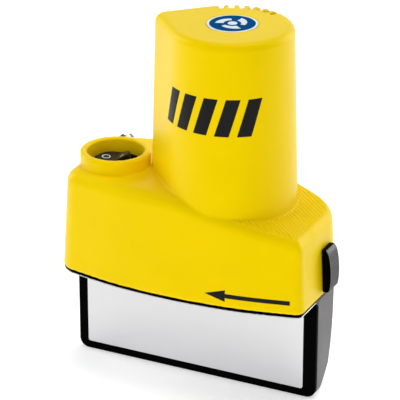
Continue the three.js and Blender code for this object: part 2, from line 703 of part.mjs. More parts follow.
function motorMagnet(side) {
  const wedge = prism([[0, 0], [28 * side, -22 * side], [28 * side, 22 * side]], MOTOR_Z + 9, MOTOR_TOP - 17);
  return tube(MOTOR_R - 1.5, MOTOR_R - 4.5, MOTOR_Z + 9, MOTOR_TOP - 17, RING).intersect(wedge);
}

// laminated core with slots for its windings
function armatureCore() {
  const core = tube(15.4, SHAFT_R + GAP, MOTOR_Z + 14, MOTOR_TOP - 22, RING);
  const poles = 5;
  const slots = Array.from({ length: poles }, (_, k) =>
    box(7.5, 20, -1.6, 1.6, MOTOR_Z, MOTOR_TOP).rotate([0, 0, 360 * k / poles]));
  return cut(core, slots);
}

function motorBrush(side) {
  const inner = side * 8.1;
  const outer = side * 14;
  const [x0, x1] = [inner, outer].sort((a, b) => a - b);
  return box(x0, x1, -2, 2, MOTOR_TOP - 13, MOTOR_TOP - 7);
}

function motorTerminal(side) {
  return box(side * 13 - 0.4, side * 13 + 0.4, -2.4, 2.4, MOTOR_TOP - 5, MOTOR_TOP + 9);
}

function motorShaft() {
  return cut(post(SHAFT_R, 52, MOTOR_TOP + 3.6), [post(SCREW_R + GAP, 51, 61)]);
}

function motorMount() {
  const half = MOUNT_HALF;
  const outline = [];
  [[half, -half], [half, half], [-half, half], [-half, -half]].forEach(([x, y], i) => {
    for (let k = 0; k <= 4; k += 1) {
      const angle = (-90 + 90 * i + 90 * k / 4) * Math.PI / 180;
      outline.push([x + 4.5 * Math.cos(angle), y + 4.5 * Math.sin(angle)]);
    }
  });
  const holes = [[0, 0, 6.2], ...MOTOR_SCREWS.map(([x, y]) => [x, y, SCREW_R + GAP]),
    ...[[1, 1], [1, -1], [-1, 1], [-1, -1]].map(([sx, sy]) => [sx * half, sy * half, SCREW_R + GAP])];
  return cut(prism(outline, MOUNT_Z, MOUNT_Z + MOUNT_THICK),
    holes.map(([x, y, r]) => post(r, MOUNT_Z - 1, MOUNT_Z + 4, x, y)));
}

function coolingFan() {
  const hub = tube(6, SHAFT_R + GAP, 64, 71);
  const plate = tube(19, 5.5, 64, 65.2, RING);
  const blades = 9;
  const vanes = Array.from({ length: blades }, (_, k) =>
    box(5.5, 18.5, -0.6, 0.6, 65, 71).rotate([0, 0, 360 * k / blades]));
  return union([hub, plate, ...vanes]);
}

// backing plate with a hub that sits on the shaft
function discHub() {
  return revolve([
    [1.8, 48.4], [DISC_R - 1, 48.4], [DISC_R - 1, 50], [9, 51], [6, 51.6], [6, 61],
    [SHAFT_R + GAP, 61], [SHAFT_R + GAP, 51.7], [1.8, 51.7],
  ]);
}

function grindingDisc() {
  return tube(DISC_R, 9, DISC_FACE_Z, 48.1, RING);
}

function discScrew() {
  return screwBody(SCREW_R, 12, 5, 2.4).translate([0, 0, 48.1]);
}

// ---------------------------------------------------------------- leads

// an insulated wire along a smooth run of hand-set points
function lead(points) {
  const path = new THREE.CatmullRomCurve3(points.map((p) => new THREE.Vector3(...p)));
  const sides = 5;
  const section = new THREE.Shape(Array.from({ length: sides }, (_, k) =>
    new THREE.Vector2(Math.cos(2 * Math.PI * k / sides), Math.sin(2 * Math.PI * k / sides))));
  const steps = 3 * points.length;
  return solid(new THREE.ExtrudeGeometry(section, { extrudePath: path, steps, bevelEnabled: false }));
}

// ---------------------------------------------------------------- putting it together

add('housing', housing(), YELLOW);
add('top_label', post(LABEL_R, TOWER_TOP - GAP, TOWER_TOP + 0.2, AXIS_X, LABEL_Y, RING), BLUE);
add('base_plate', basePlate(), BLACK);
add('wear_plate', wearPlate(), STEEL);
BASE_SCREWS.forEach(([x, y], i) => {
  add(`base_screw_${i + 1}`, screwBody(SCREW_R, 11, 2.8, 1.3).translate([x, y, WEAR_Z + 1.4]), STEEL);
});

const guide = new THREE.Group();
assembly.add(guide);
add('guide_shell', guideShell(), GREY, guide);
add('guide_cheek_left', guideCheek(-GUIDE_LEFT).mirror([1, 0, 0]), GREY, guide);
add('guide_cheek_right', guideCheek(GUIDE_RIGHT), GREY, guide);
add('guide_frame', guideFrame(), BLACK, guide);
add('slide_plate', slidePlate(), SILVER, guide);
GUIDE_SCREWS.forEach(([x, z], i) => {
  const screw = screwBody(1.2, z < 20 ? 4.9 : 8, 2.2, 1.2).rotate([-90, 0, 0]);
  add(`guide_screw_${i + 1}`, screw.translate([x, PLATE_THICK + 1.6, z]), STEEL, guide);
});
add('hinge_pin_left', postX(SCREW_R, -55.1, -42.2, GUIDE_TILT_Y, GUIDE_TILT_Z), STEEL, guide);
add('hinge_pin_right', postX(SCREW_R, 42.2, 55.1, GUIDE_TILT_Y, GUIDE_TILT_Z), STEEL, guide);

add('latch_slider', latchSlider(), BLACK);
add('latch_bar', latchBar(), STEEL);
add('latch_screw', latchScrew(), STEEL);

add('switch_bezel', switchBezel(), BLACK);
add('switch_body', switchBody(), BLACK);
add('switch_rocker', switchRocker(), BLACK);
add('switch_terminal_1', switchTerminal(-1), BRASS);
add('switch_terminal_2', switchTerminal(1), BRASS);

add('inlet_barrel', inletBarrel(), CHROME);
add('inlet_nut', inletNut(), CHROME);
add('inlet_insulator', inletInsulator(), BLACK);
add('inlet_pin', inletPin(), BRASS);

const drive = new THREE.Group();
drive.position.set(AXIS_X, AXIS_Y, 0);
assembly.add(drive);
add('motor_can', motorCan(), STEEL, drive);
add('motor_end_cap', motorEndCap(), BLACK, drive);
add('motor_bushing_lower', tube(5.9, SHAFT_R + GAP, MOTOR_Z - 1.5, MOTOR_Z + 5), BRASS, drive);
add('motor_bushing_upper', tube(4.3, SHAFT_R + GAP, MOTOR_TOP - 3, MOTOR_TOP + 4.6), BRASS, drive);
add('motor_mount', motorMount(), ALUMINIUM, drive);
for (const [i, side] of [-1, 1].entries()) {
  add(`motor_magnet_${i + 1}`, motorMagnet(side), CARBON, drive);
  add(`motor_brush_${i + 1}`, motorBrush(side), CARBON, drive);
  add(`motor_terminal_${i + 1}`, motorTerminal(side), BRASS, drive);
  const screw = screwBody(SCREW_R, 5, 2.7, 1.6).translate([MOTOR_SCREWS[i][0], 0, MOUNT_Z - GAP]);
  add(`motor_screw_${i + 1}`, screw, STEEL, drive);
}
MOUNT_SCREWS.forEach(([x, y], i) => {
  const screw = screwBody(SCREW_R, 7, 2.7, 1.6).translate([x, y, MOUNT_Z - GAP]);
  add(`mount_screw_${i + 1}`, screw, STEEL);
});

add('motor_shaft', motorShaft(), STEEL, drive);
add('armature_core', armatureCore(), STEEL, drive);
add('commutator', tube(7.7, SHAFT_R + GAP, MOTOR_TOP - 14, MOTOR_TOP - 6), BRASS, drive);
add('cooling_fan', coolingFan(), BLACK, drive);
add('disc_hub', discHub(), ALUMINIUM, drive);
add('grinding_disc', grindingDisc(), ABRASIVE, drive);
add('disc_screw', discScrew(), STEEL, drive);

add('lead_switch_motor', lead([
  [COLLAR_X + 4.5, COLLAR_Y, 62.6], [-33, 4, 57], [-24, 7, 60], [-18.5, 8, 72], [-16, 8, 92],
  [-14.6, 8, 120], [-12.6, 8, 142], [-8, 8, 150], [-3, 8, 153.2], [-0.15, 8, 150.8],
]), RED_LEAD);
add('lead_inlet_switch', lead([
  [-39.2, 23, 84], [-36, 19, 80], [-37, 13, 68], [-42, 5, 60], [-43.85, 3, 62.6],
]), RED_LEAD);
add('lead_inlet_motor', lead([
  [-38, 26, 81], [-31, 24, 72], [-22, 17, 72], [-14.5, 15, 84], [-11.5, 15, 120], [-9, 17, 144],
  [4, 22, 151.6], [20, 16, 152.6], [24.6, 11.4, 153], [25.85, 8.6, 150.9],
]), BLACK_LEAD);

assembly.position.y = -FOOT_Y;

export default assembly;
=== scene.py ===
"""Looks of the edge tuning tool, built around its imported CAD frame.

Smooth moulded pieces are drawn as distance fields in millimetres, in the same drawing coordinates as
the CAD: y = 0 on the guide's running face and z = 0 under its foot. A surface net turns each field into
a mesh, which is then drawn onto the field itself, so every fillet is a true one.
"""

import functools
import json
import math

import bmesh
import bpy
import numpy as np
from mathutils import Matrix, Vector

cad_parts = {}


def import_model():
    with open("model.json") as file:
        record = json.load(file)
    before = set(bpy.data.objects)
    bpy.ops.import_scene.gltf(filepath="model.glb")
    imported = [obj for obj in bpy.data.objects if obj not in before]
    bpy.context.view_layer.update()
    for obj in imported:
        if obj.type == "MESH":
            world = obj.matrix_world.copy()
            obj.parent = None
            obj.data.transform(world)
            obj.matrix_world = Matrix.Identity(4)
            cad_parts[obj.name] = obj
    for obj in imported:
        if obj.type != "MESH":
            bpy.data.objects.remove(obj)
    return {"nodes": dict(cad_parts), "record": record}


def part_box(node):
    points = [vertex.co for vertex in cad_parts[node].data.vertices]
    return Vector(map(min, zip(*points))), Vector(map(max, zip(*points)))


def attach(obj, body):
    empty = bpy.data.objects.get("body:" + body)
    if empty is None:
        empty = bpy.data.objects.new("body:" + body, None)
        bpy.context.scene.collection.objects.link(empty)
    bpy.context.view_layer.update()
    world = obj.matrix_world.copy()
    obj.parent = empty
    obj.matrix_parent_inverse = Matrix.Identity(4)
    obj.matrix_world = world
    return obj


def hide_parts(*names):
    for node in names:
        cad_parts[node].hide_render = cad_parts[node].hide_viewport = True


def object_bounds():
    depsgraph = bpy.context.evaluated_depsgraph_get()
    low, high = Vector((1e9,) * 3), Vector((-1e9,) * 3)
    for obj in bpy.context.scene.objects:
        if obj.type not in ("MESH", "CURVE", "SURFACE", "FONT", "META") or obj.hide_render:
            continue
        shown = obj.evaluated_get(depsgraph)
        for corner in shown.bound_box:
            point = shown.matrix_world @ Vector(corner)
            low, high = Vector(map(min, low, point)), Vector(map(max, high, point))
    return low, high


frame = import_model()
CAD_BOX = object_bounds()

# ------------------------ driving dimensions, millimetres

MM = 0.001
SHIFT_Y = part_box("slide_plate")[0][1] / MM      # the CAD origin lies behind the running face
WALL = 2.6
GAP = 0.3
SCREW_R = 1.5

RIM_Z = 46.5
DECK_Z = 91
DECK_BREAK_X = 2.15
DECK_SLOPE = 0.23
DECK_BLEND = 7
DECK_FILLET = 2.6
SOFT_FILLET = 5.2                               # of the deck's left end and front edge
LEFT_LEAN = 0.0003
DRAFT = math.tan(math.radians(2.6))

WEAR_Z = 44.6
WEAR_THICK = 0.5
PLATE_Z = 45.2
PLATE_STEP_Z = 46.2
PLATE_TOP_Z = 47.9

AXIS = AXIS_X, AXIS_Y = 12.85, 8
TOWER_TOP = 160.2
TOWER_R = 26
TOWER_TIP = 5.3
TOWER_DRAFT = math.tan(math.radians(1.6))
TOWER_FILLET = 3.3
TOWER_FOOT_Z = 70
BOSS_R, BOSS_TOP = 4.3, 70
BOSS_HOLE = 13                                  # depth of the screw holes over the rim
MOUNT_BOSS_R = 3.6
MOUNT_BOSS_Z = 77.3
MOUNT_HOLE_TOP = 81.2
VENT_COUNT = 7
VENT_MIDDLE = math.radians(94.6)
VENT_STEP = math.radians(10.6)
VENT_WIDTH = 2.4
VENT_DEPTH = 6
VENT_HEIGHT = 4

COLLAR = COLLAR_X, COLLAR_Y = -39.35, 3
COLLAR_TOP = 96.9
COLLAR_R = 15.2
WELL_R = 12.4
WELL_FLOOR = 89
SWITCH_R = 9.85
BEZEL_R = 11.5
ROCKER_R = 7.4
ROCKER_MOUTH_R = 8.6
ROCKER_CREST = 4.9
ROCKER_SLOPE = 0.275
ROCKER_FOLD = 0.6                               # half width of the rounded fold between its faces
ROCKER_Z = WELL_FLOOR - 1.4
ROCKER_TILT = math.radians(12)

GUIDE_LEFT = -57.4
GUIDE_RIGHT = 56.5
FRAME_TOP = 43.8
SHELL_TOP = 44.2
SHELL_DEPTH = 19.1
CHEEK_TOP = 46.1
CHEEK_X = 53.8
GUIDE_CORNER = 4.4
SHELL_WALL = 2.2
FOOT_END_Y = 4.8
FRAME_DEPTH = 2.3
FRAME_FRONT = 0.15
PLATE_LEFT = -52.8
PLATE_RIGHT = 50.8
PLATE_BOTTOM = 3.8
WEB_BACK = 5.0
WEB_HALF = 48.4
PLATE_THICK = 1.5
TILT_Y, TILT_Z = 8.3, 38.5
LUG_X = (44.5, 48.5)
LUG_MIDDLE, LUG_HALF = sum(LUG_X) / 2, 2
LUG_R = 2.5

LATCH_YAW = math.radians(0.66)
LATCH_LEAN = math.radians(2.6)
LATCH_X, LATCH_Y, LATCH_Z = 55.72, 11.05, 57.2
LATCH_TOP = 10.1
LATCH_FOOT = -9.3
LATCH_WIDTH = 9
LATCH_CREST = 4.4
LATCH_BOW = 0.012
LATCH_CHAMFER = 2.4

INLET = np.array([-47.8, 33.15, 83])
INLET_AZIMUTH = math.radians(130)
INLET_R = 4.8
INLET_END = 10.5
INLET_BOSS_R = 6.3

DISC_R = 25
DISC_FACE_Z = WEAR_Z + 0.1
DISC_BACK_Z = 48.1
LABEL_R = 10.6
LABEL_Y = 8.6
LABEL_RECESS = 0.6
RIB_PITCH = 1.84
RIB_ANGLE = math.radians(-34)
RIB_DEPTH = 0.42
RIB_SHARPNESS = 1.4

BASE_SCREWS = ((-51.5, -10), (-46, 28), (50.4, -10.7), (43.2, 25.3))
MOUNT_HALF = 18
MOUNT_SCREWS = tuple((AXIS_X + sx * MOUNT_HALF, AXIS_Y + sy * MOUNT_HALF)
                     for sx in (-1, 1) for sy in (-1, 1))

# corners of the body's lower rim, counter-clockwise from the front left: x, y and corner radius
RIM = ((-58.1, -16.5, 10), (-27.85, -22.6, 160), (0.15, -24, 200), (30.15, -21.6, 160),
       (56.5, -15.3, 4), (56, 28.3, 16), (24, 38, 60), (-12, 41.2, 80), (-51, 36.5, 12), (-58.05, 6, 40))

COARSE = 1.0
FAR = 9                                         # a field value that is safely outside

# ------------------------ distance fields


def rounded_loop(corners, chord=0.6):
    """Points of a closed polygon whose corners are arcs."""
    points = []
    for i, (x, y, radius) in enumerate(corners):
        corner = np.array([x, y], float)
        before = np.array(corners[i - 1][:2]) - corner
        after = np.array(corners[(i + 1) % len(corners)][:2]) - corner
        before = before / np.linalg.norm(before)
        after = after / np.linalg.norm(after)
        half = math.acos(float(before @ after)) / 2
        bisector = (before + after) / np.linalg.norm(before + after)
        centre = corner + bisector * radius / math.sin(half)
        middle = math.atan2(-bisector[1], -bisector[0])
        sweep = math.pi / 2 - half
        steps = max(2, int(2 * sweep * radius / chord))
        for k in range(steps + 1):
            angle = middle + sweep * (2 * k / steps - 1)
            points.append((centre[0] + radius * math.cos(angle), centre[1] + radius * math.sin(angle)))
    return np.array(points)


def loop_distance(u, v, loop):
    """Signed distance from points (u, v) to a closed loop, negative inside."""
    nearest = np.full(u.shape, 1e9)
    inside = np.zeros(u.shape, bool)
    for (ax, ay), (bx, by) in zip(loop, np.roll(loop, -1, axis=0)):
        ex, ey = bx - ax, by - ay
        length = ex * ex + ey * ey
        if length < 1e-12:
            continue
        t = np.clip(((u - ax) * ex + (v - ay) * ey) / length, 0, 1)
        nearest = np.minimum(nearest, (u - ax - t * ex) ** 2 + (v - ay - t * ey) ** 2)
        if ay != by:
            crosses = (ay > v) != (by > v)
            inside ^= crosses & (u < ax + (v - ay) * ex / ey)
    return np.where(inside, -1, 1) * np.sqrt(nearest)


class LoopField:
    """A loop's signed distance, tabulated on a fine grid and read back by interpolation."""

    def __init__(self, loop, margin=12, step=0.35):
        self.step = step
        self.low = loop.min(axis=0) - margin
        size = np.ceil((loop.max(axis=0) + margin - self.low) / step).astype(int) + 2
        u = self.low[0] + step * np.arange(size[0])
        v = self.low[1] + step * np.arange(size[1])
        uu, vv = np.meshgrid(u, v, indexing="ij")
        self.table = loop_distance(uu, vv, loop)

    def __call__(self, u, v):
        p = np.clip((u - self.low[0]) / self.step, 0, self.table.shape[0] - 1.001)
        q = np.clip((v - self.low[1]) / self.step, 0, self.table.shape[1] - 1.001)
        i, j = p.astype(int), q.astype(int)
        a, b = p - i, q - j
        t = self.table
        return ((1 - a) * (1 - b) * t[i, j] + a * (1 - b) * t[i + 1, j]
                + (1 - a) * b * t[i, j + 1] + a * b * t[i + 1, j + 1])


def xyz(p):
    return p[..., 0], p[..., 1], p[..., 2]


def both(a, b, radius=0.0):
    """Intersection of two fields, with a fillet, whose radius may vary from point to point."""
    if np.ndim(radius) == 0 and radius == 0:
        return np.maximum(a, b)
    return (np.minimum(np.maximum(a, b), -radius)
            + np.hypot(np.maximum(a + radius, 0), np.maximum(b + radius, 0)))


def either(a, b, radius=0.0):
    return -both(-a, -b, radius)


def without(a, b, radius=0.0):
    return both(a, -b, radius)


def common(*fields):
    """Sharp intersection of several fields."""
    return functools.reduce(np.maximum, fields)


def slab(value, half):
    return np.abs(value) - half


def capsule_section(x, y, radius, tip):
    """Circle about the motor axis whose tangents meet in a rounded corner towards -X."""
    reach = math.sqrt(2) * (radius - tip)
    side = np.abs(y - AXIS_Y)
    along = AXIS_X - x
    b = (radius - tip) / reach
    a = math.sqrt(1 - b * b)
    k = a * along - b * side
    circle = np.hypot(side, along) - radius
    corner = np.hypot(side, along - reach) - tip
    flank = a * side + b * along - radius
    return np.where(k < 0, circle, np.where(k > a * reach, corner, flank))


def post(x, y, centre, radius):
    return np.hypot(x - centre[0], y - centre[1]) - radius


RIM_FIELD = LoopField(rounded_loop(RIM))


def deck_height(x):
    t = x - DECK_BREAK_X
    return DECK_Z - DECK_SLOPE * (t + np.sqrt(t * t + DECK_BLEND ** 2)) / 2


def rib_pattern(x, y):
    """Fine ridges that run diagonally over the sloping deck, from 0 on a crest to 1 in a groove."""
    across = -math.sin(RIB_ANGLE) * x + math.cos(RIB_ANGLE) * y
    wave = 0.5 - 0.5 * np.cos(2 * math.pi * across / RIB_PITCH)
    return wave ** RIB_SHARPNESS


def fade(value, low, high):
    t = np.clip((value - low) / (high - low), 0, 1)
    return t * t * (3 - 2 * t)


def rib_mask(x, y):
    """1 on the ribbed part of the deck, which is right of the tower and stops short of the edges."""
    inner = -RIM_FIELD(x, y) - (DECK_Z - RIM_Z) * DRAFT
    ring = np.hypot(x - AXIS_X, y - AXIS_Y)
    return fade(inner, 1.7, 2.4) * fade(x, 8, 14) * fade(ring, 28.1, 28.7)


def to_wall(p):
    """Coordinates on the end wall: out of it, across it and up along it."""
    x, y, z = xyz(p - np.array([LATCH_X, LATCH_Y, LATCH_Z]))
    out = math.cos(LATCH_YAW) * x + math.sin(LATCH_YAW) * y
    across = -math.sin(LATCH_YAW) * x + math.cos(LATCH_YAW) * y
    return (math.cos(LATCH_LEAN) * out + math.sin(LATCH_LEAN) * z, across,
            -math.sin(LATCH_LEAN) * out + math.cos(LATCH_LEAN) * z)


def along_inlet(p):
    """Distance along the inlet's axis from the wall, and distance from that axis."""
    direction = np.array([math.cos(INLET_AZIMUTH), math.sin(INLET_AZIMUTH), 0])
    rel = p - INLET
    s = rel @ direction
    return s, np.linalg.norm(rel - s[..., None] * direction, axis=-1)


def body_outside(p, ribs=False):
    x, y, z = xyz(p)
    side = RIM_FIELD(np.where(x < 0, x / (1 - LEFT_LEAN * (z - RIM_Z)), x), y) + (z - RIM_Z) * DRAFT
    top = z - deck_height(x)
    if ribs:
        top = top + RIB_DEPTH * rib_pattern(x, y) * rib_mask(x, y)
    softer = np.maximum(fade(-x, 25, 48), fade(-y, -8, 4))
    softer = np.maximum(softer, 0.6 * fade(x, 40, 54))
    fillet = DECK_FILLET + (SOFT_FILLET - DECK_FILLET) * softer
    block = both(side, top * 0.975, fillet)
    tower = capsule_section(x, y, TOWER_R, TOWER_TIP) - (TOWER_TOP - z) * TOWER_DRAFT
    tower = both(tower, z - TOWER_TOP, TOWER_FILLET)
    return block, np.maximum(tower, TOWER_FOOT_Z - z)


def housing_field(p, ribs=False):
    x, y, z = xyz(p)
    block, tower = body_outside(p, ribs)
    collar_side = post(x, y, COLLAR, COLLAR_R)
    collar = both(collar_side, z - COLLAR_TOP, 1.1)
    collar = np.maximum(collar, WELL_FLOOR - WALL - z)
    s, r = along_inlet(p)
    inlet_boss = common(r - INLET_BOSS_R, s - 0.2, -5.9 - s)
    outside = either(either(block, tower, 0.4), collar, 0.8)
    cavity = either(block + WALL, np.maximum(tower + WALL, TOWER_FOOT_Z - z), 0.8)
    shell = without(outside, cavity)
    bosses = [common(collar_side, WELL_FLOOR - WALL - z, z - WELL_FLOOR)]
    for centre in BASE_SCREWS:
        bosses.append(common(post(x, y, centre, BOSS_R), z - BOSS_TOP, PLATE_TOP_Z + GAP - z))
    for centre in MOUNT_SCREWS:
        bosses.append(common(post(x, y, centre, MOUNT_BOSS_R), MOUNT_BOSS_Z - z, z - deck_height(x) + 1))
    shell = functools.reduce(np.minimum, bosses, shell)
    shell = np.maximum(shell, outside)
    shell = either(shell, inlet_boss, 0.5)
    for centre in BASE_SCREWS:
        shell = without(shell, np.maximum(post(x, y, centre, SCREW_R + GAP), z - RIM_Z - BOSS_HOLE))
    for centre in MOUNT_SCREWS:
        shell = without(shell, np.maximum(post(x, y, centre, SCREW_R + GAP), z - MOUNT_HOLE_TOP))
    well = np.maximum(post(x, y, COLLAR, WELL_R), WELL_FLOOR - z)
    shell = without(shell, well, 0.5)
    throat = np.maximum(post(x, y, COLLAR, SWITCH_R + GAP), WELL_FLOOR - 5 - z)
    shell = without(shell, throat)
    shell = without(shell, np.maximum(r - INLET_R - GAP, -12 - s))
    recess = np.maximum(post(x, y, (AXIS_X, LABEL_Y), LABEL_R + GAP), TOWER_TOP - LABEL_RECESS - z)
    shell = without(shell, recess)
    out, across, up = to_wall(p)
    shell = without(shell, common(slab(across, 2.3), slab(up - 0.75, 8.25), slab(out + 3, 5)))
    bearing = np.arctan2(y - AXIS_Y, x - AXIS_X) - VENT_MIDDLE
    ring = np.hypot(x - AXIS_X, y - AXIS_Y)
    index = np.clip(np.round(bearing / VENT_STEP), -(VENT_COUNT // 2), VENT_COUNT // 2)
    across_vent = ring * np.sin(bearing - index * VENT_STEP)
    vent = both(slab(across_vent, VENT_WIDTH / 2), TOWER_R - VENT_DEPTH - ring, 0.5)
    vent = np.maximum(vent, TOWER_TOP - VENT_HEIGHT - z)
    vent = np.where(y > AXIS_Y, vent, FAR)
    shell = without(shell, vent, 0.3)
    return both(shell, RIM_Z - z, 0.4)


# ------------------------ from field to mesh


def onto_field(field, points, rounds=3, reach=0.4):
    """Moves points along the field's gradient until they lie on its surface."""
    eps = 0.02
    for _ in range(rounds):
        value = field(points)
        gradient = np.empty_like(points)
        for axis in range(3):
            offset = np.zeros(3)
            offset[axis] = eps
            gradient[:, axis] = (field(points + offset) - field(points - offset)) / (2 * eps)
        size = np.maximum((gradient ** 2).sum(axis=1), 0.25)
        move = gradient * (value / size)[:, None]
        length = np.linalg.norm(move, axis=1, keepdims=True)
        points = points - move * np.minimum(1, reach / np.maximum(length, 1e-9))
    return points


def surface_net(field, low, high, step):
    """Vertices and quads of the surface where a field is zero."""
    axes = [np.arange(a, b + step, step) for a, b in zip(low, high)]
    shape = tuple(len(axis) for axis in axes)
    values = np.empty(shape)
    yy, zz = np.meshgrid(axes[1], axes[2], indexing="ij")
    for i, x in enumerate(axes[0]):
        values[i] = field(np.stack([np.full_like(yy, x), yy, zz], axis=-1))
    inside = values < 0
    corners = [(a, b, c) for a in (0, 1) for b in (0, 1) for c in (0, 1)]

    def shifted(array, corner):
        return array[tuple(slice(k, n - 1 + k) for k, n in zip(corner, shape))]

    count = sum(shifted(inside, corner).astype(np.int8) for corner in corners)
    cells = np.argwhere((count > 0) & (count < 8))
    ids = np.full(tuple(n - 1 for n in shape), -1, np.int64)
    ids[tuple(cells.T)] = np.arange(len(cells))
    total = np.zeros((len(cells), 3))
    hits = np.zeros(len(cells))
    for corner in corners:
        for axis in range(3):
            if corner[axis]:
                continue
            other = list(corner)
            other[axis] = 1
            va = values[tuple((cells + corner).T)]
            vb = values[tuple((cells + other).T)]
            crossing = (va < 0) != (vb < 0)
            t = np.where(crossing, va / np.where(crossing, va - vb, 1), 0)
            point = np.tile(np.array(corner, float), (len(cells), 1))
            point[:, axis] = t
            total += point * crossing[:, None]
            hits += crossing
    vertices = np.array(low) + step * (cells + total / hits[:, None])
    quads = []
    for axis in range(3):
        u, v = (axis + 1) % 3, (axis + 2) % 3
        first = [slice(None)] * 3
        first[axis] = slice(0, shape[axis] - 1)
        second = [slice(None)] * 3
        second[axis] = slice(1, shape[axis])
        a, b = inside[tuple(first)], inside[tuple(second)]
        edges = np.argwhere(a != b)
        edges = edges[(edges[:, u] > 0) & (edges[:, v] > 0)
                      & (edges[:, u] < shape[u] - 1) & (edges[:, v] < shape[v] - 1)]
        outward = a[tuple(edges.T)]
        ring = []
        for du, dv in ((0, 0), (-1, 0), (-1, -1), (0, -1)):
            cell = edges.copy()
            cell[:, u] += du
            cell[:, v] += dv
            ring.append(ids[tuple(cell.T)])
        ring = np.stack(ring, axis=1)
        quads.append(np.where(outward[:, None], ring, ring[:, ::-1]))
    return vertices, np.concatenate(quads)


def relaxed(field, vertices, quads, rounds=2):
    """Evens out the quads, keeping the vertices on the surface."""
    for _ in range(rounds):
        total = np.zeros_like(vertices)
        hits = np.zeros(len(vertices))
        for k in range(4):
            a, b = quads[:, k], quads[:, (k + 1) % 4]
            np.add.at(total, a, vertices[b])
            np.add.at(total, b, vertices[a])
            np.add.at(hits, a, 1)
            np.add.at(hits, b, 1)
        average = total / np.maximum(hits, 1)[:, None]
        vertices = onto_field(field, vertices + 0.5 * (average - vertices), rounds=2)
    return vertices


# ------------------------ pieces


def to_metres(points):
    points = np.asarray(points, float)
    return (points + np.array([0, SHIFT_Y, 0])) * MM


def to_drawing(points):
    return np.array(points) / MM - np.array([0, SHIFT_Y, 0])


def piece(name, vertices, faces, body, material, replaces=(), smooth=True):
    mesh = bpy.data.meshes.new(name)
    mesh.from_pydata(to_metres(vertices).tolist(), [], [list(map(int, face)) for face in faces])
    mesh.validate()
    mesh.update()
    obj = bpy.data.objects.new(name, mesh)
    bpy.context.scene.collection.objects.link(obj)
    mesh.materials.append(material)
    if smooth:
        mesh.shade_smooth()
    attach(obj, body)
    if replaces:
        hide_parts(*replaces)
    return obj


def moulded(name, field, low, high, step, body, material, replaces=()):
    """A piece meshed from its distance field."""
    step *= COARSE
    vertices, quads = surface_net(field, low, high, step)
    vertices = onto_field(field, vertices, reach=step / 2)
    vertices = relaxed(field, vertices, quads)
    return piece(name, vertices, quads, body, material, replaces)


def dressed(obj, degrees, weld=False):
    """Turns all faces outwards and shades edges sharper than an angle as hard edges."""
    bm = bmesh.new()
    bm.from_mesh(obj.data)
    if weld:
        bmesh.ops.remove_doubles(bm, verts=bm.verts, dist=1e-7)
        bmesh.ops.dissolve_degenerate(bm, edges=bm.edges, dist=1e-8)
    bmesh.ops.recalc_face_normals(bm, faces=bm.faces)
    bm.to_mesh(obj.data)
    bm.free()
    obj.data.shade_smooth()
    obj.data.set_sharp_from_angle(angle=math.radians(degrees))
    return obj


def turned(name, outline, body, material, replaces=(), segments=96, place=None, centre=(0, 0)):
    """A body of revolution from a closed outline of (radius, height) points."""
    vertices = []
    for k in range(segments):
        angle = 2 * math.pi * k / segments
        for r, h in outline:
            vertices.append((r * math.cos(angle), r * math.sin(angle), h))
    count = len(outline)
    faces = []
    for k in range(segments):
        following = (k + 1) % segments
        for i in range(count):
            j = (i + 1) % count
            if outline[i][0] == 0 and outline[j][0] == 0:
                continue
            faces.append((k * count + i, following * count + i, following * count + j, k * count + j))
    vertices = np.array(vertices)
    if place is not None:
        vertices = place(vertices)
    else:
        vertices = vertices + np.array([centre[0], centre[1], 0])
    return dressed(piece(name, vertices, faces, body, material, replaces), 35, weld=True)


def fillet_outline(points, radius=0.25, steps=3):
    """Rounds each corner of a closed (radius, height) outline, apart from corners on the axis."""
    result = []
    for i, point in enumerate(points):
        here = np.array(point, float)
        before = np.array(points[i - 1], float) - here
        after = np.array(points[(i + 1) % len(points)], float) - here
        reach = min(radius, 0.4 * np.linalg.norm(before), 0.4 * np.linalg.norm(after))
        if point[0] == 0 or reach == 0:
            result.append(tuple(here))
            continue
        start = here + before / np.linalg.norm(before) * reach
        end = here + after / np.linalg.norm(after) * reach
        for k in range(steps + 1):
            t = k / steps
            result.append(tuple((1 - t) ** 2 * start + 2 * t * (1 - t) * here + t * t * end))
    return result


# ------------------------ materials


def new_material(name):
    material = bpy.data.materials.new(name)
    material.use_nodes = True
    nodes = material.node_tree.nodes
    return material, nodes, material.node_tree.links, nodes["Principled BSDF"]


def noise(nodes, links, scale, detail=3, roughness=0.5, stretch=None):
    """A noise texture in the object's own coordinates, per metre."""
    coordinates = nodes.new("ShaderNodeTexCoord")
    texture = nodes.new("ShaderNodeTexNoise")
    texture.inputs["Scale"].default_value = scale
    texture.inputs["Detail"].default_value = detail
    texture.inputs["Roughness"].default_value = roughness
    source = coordinates.outputs["Object"]
    if stretch:
        mapping = nodes.new("ShaderNodeMapping")
        mapping.inputs["Scale"].default_value = stretch
        links.new(source, mapping.inputs["Vector"])
        source = mapping.outputs["Vector"]
    links.new(source, texture.inputs["Vector"])
    return texture


def ramp(nodes, links, source, low, high, at=(0.35, 0.65)):
    """A colour ramp between two colours."""
    node = nodes.new("ShaderNodeValToRGB")
    node.color_ramp.elements[0].position = at[0]
    node.color_ramp.elements[1].position = at[1]
    node.color_ramp.elements[0].color = (*low, 1)
    node.color_ramp.elements[1].color = (*high, 1)
    links.new(source, node.inputs["Fac"])
    return node


def bump(nodes, links, shader, height, strength, distance):
    node = nodes.new("ShaderNodeBump")
    node.inputs["Strength"].default_value = strength
    node.inputs["Distance"].default_value = distance
    links.new(height, node.inputs["Height"])
    links.new(node.outputs["Normal"], shader.inputs["Normal"])


def roughen(nodes, links, shader, source, roughness, spread):
    """Lets the roughness follow a texture, by a share of its value both ways."""
    node = nodes.new("ShaderNodeMapRange")
    node.inputs["To Min"].default_value = roughness * (1 - spread)
    node.inputs["To Max"].default_value = roughness * (1 + spread)
    links.new(source, node.inputs["Value"])
    links.new(node.outputs["Result"], shader.inputs["Roughness"])


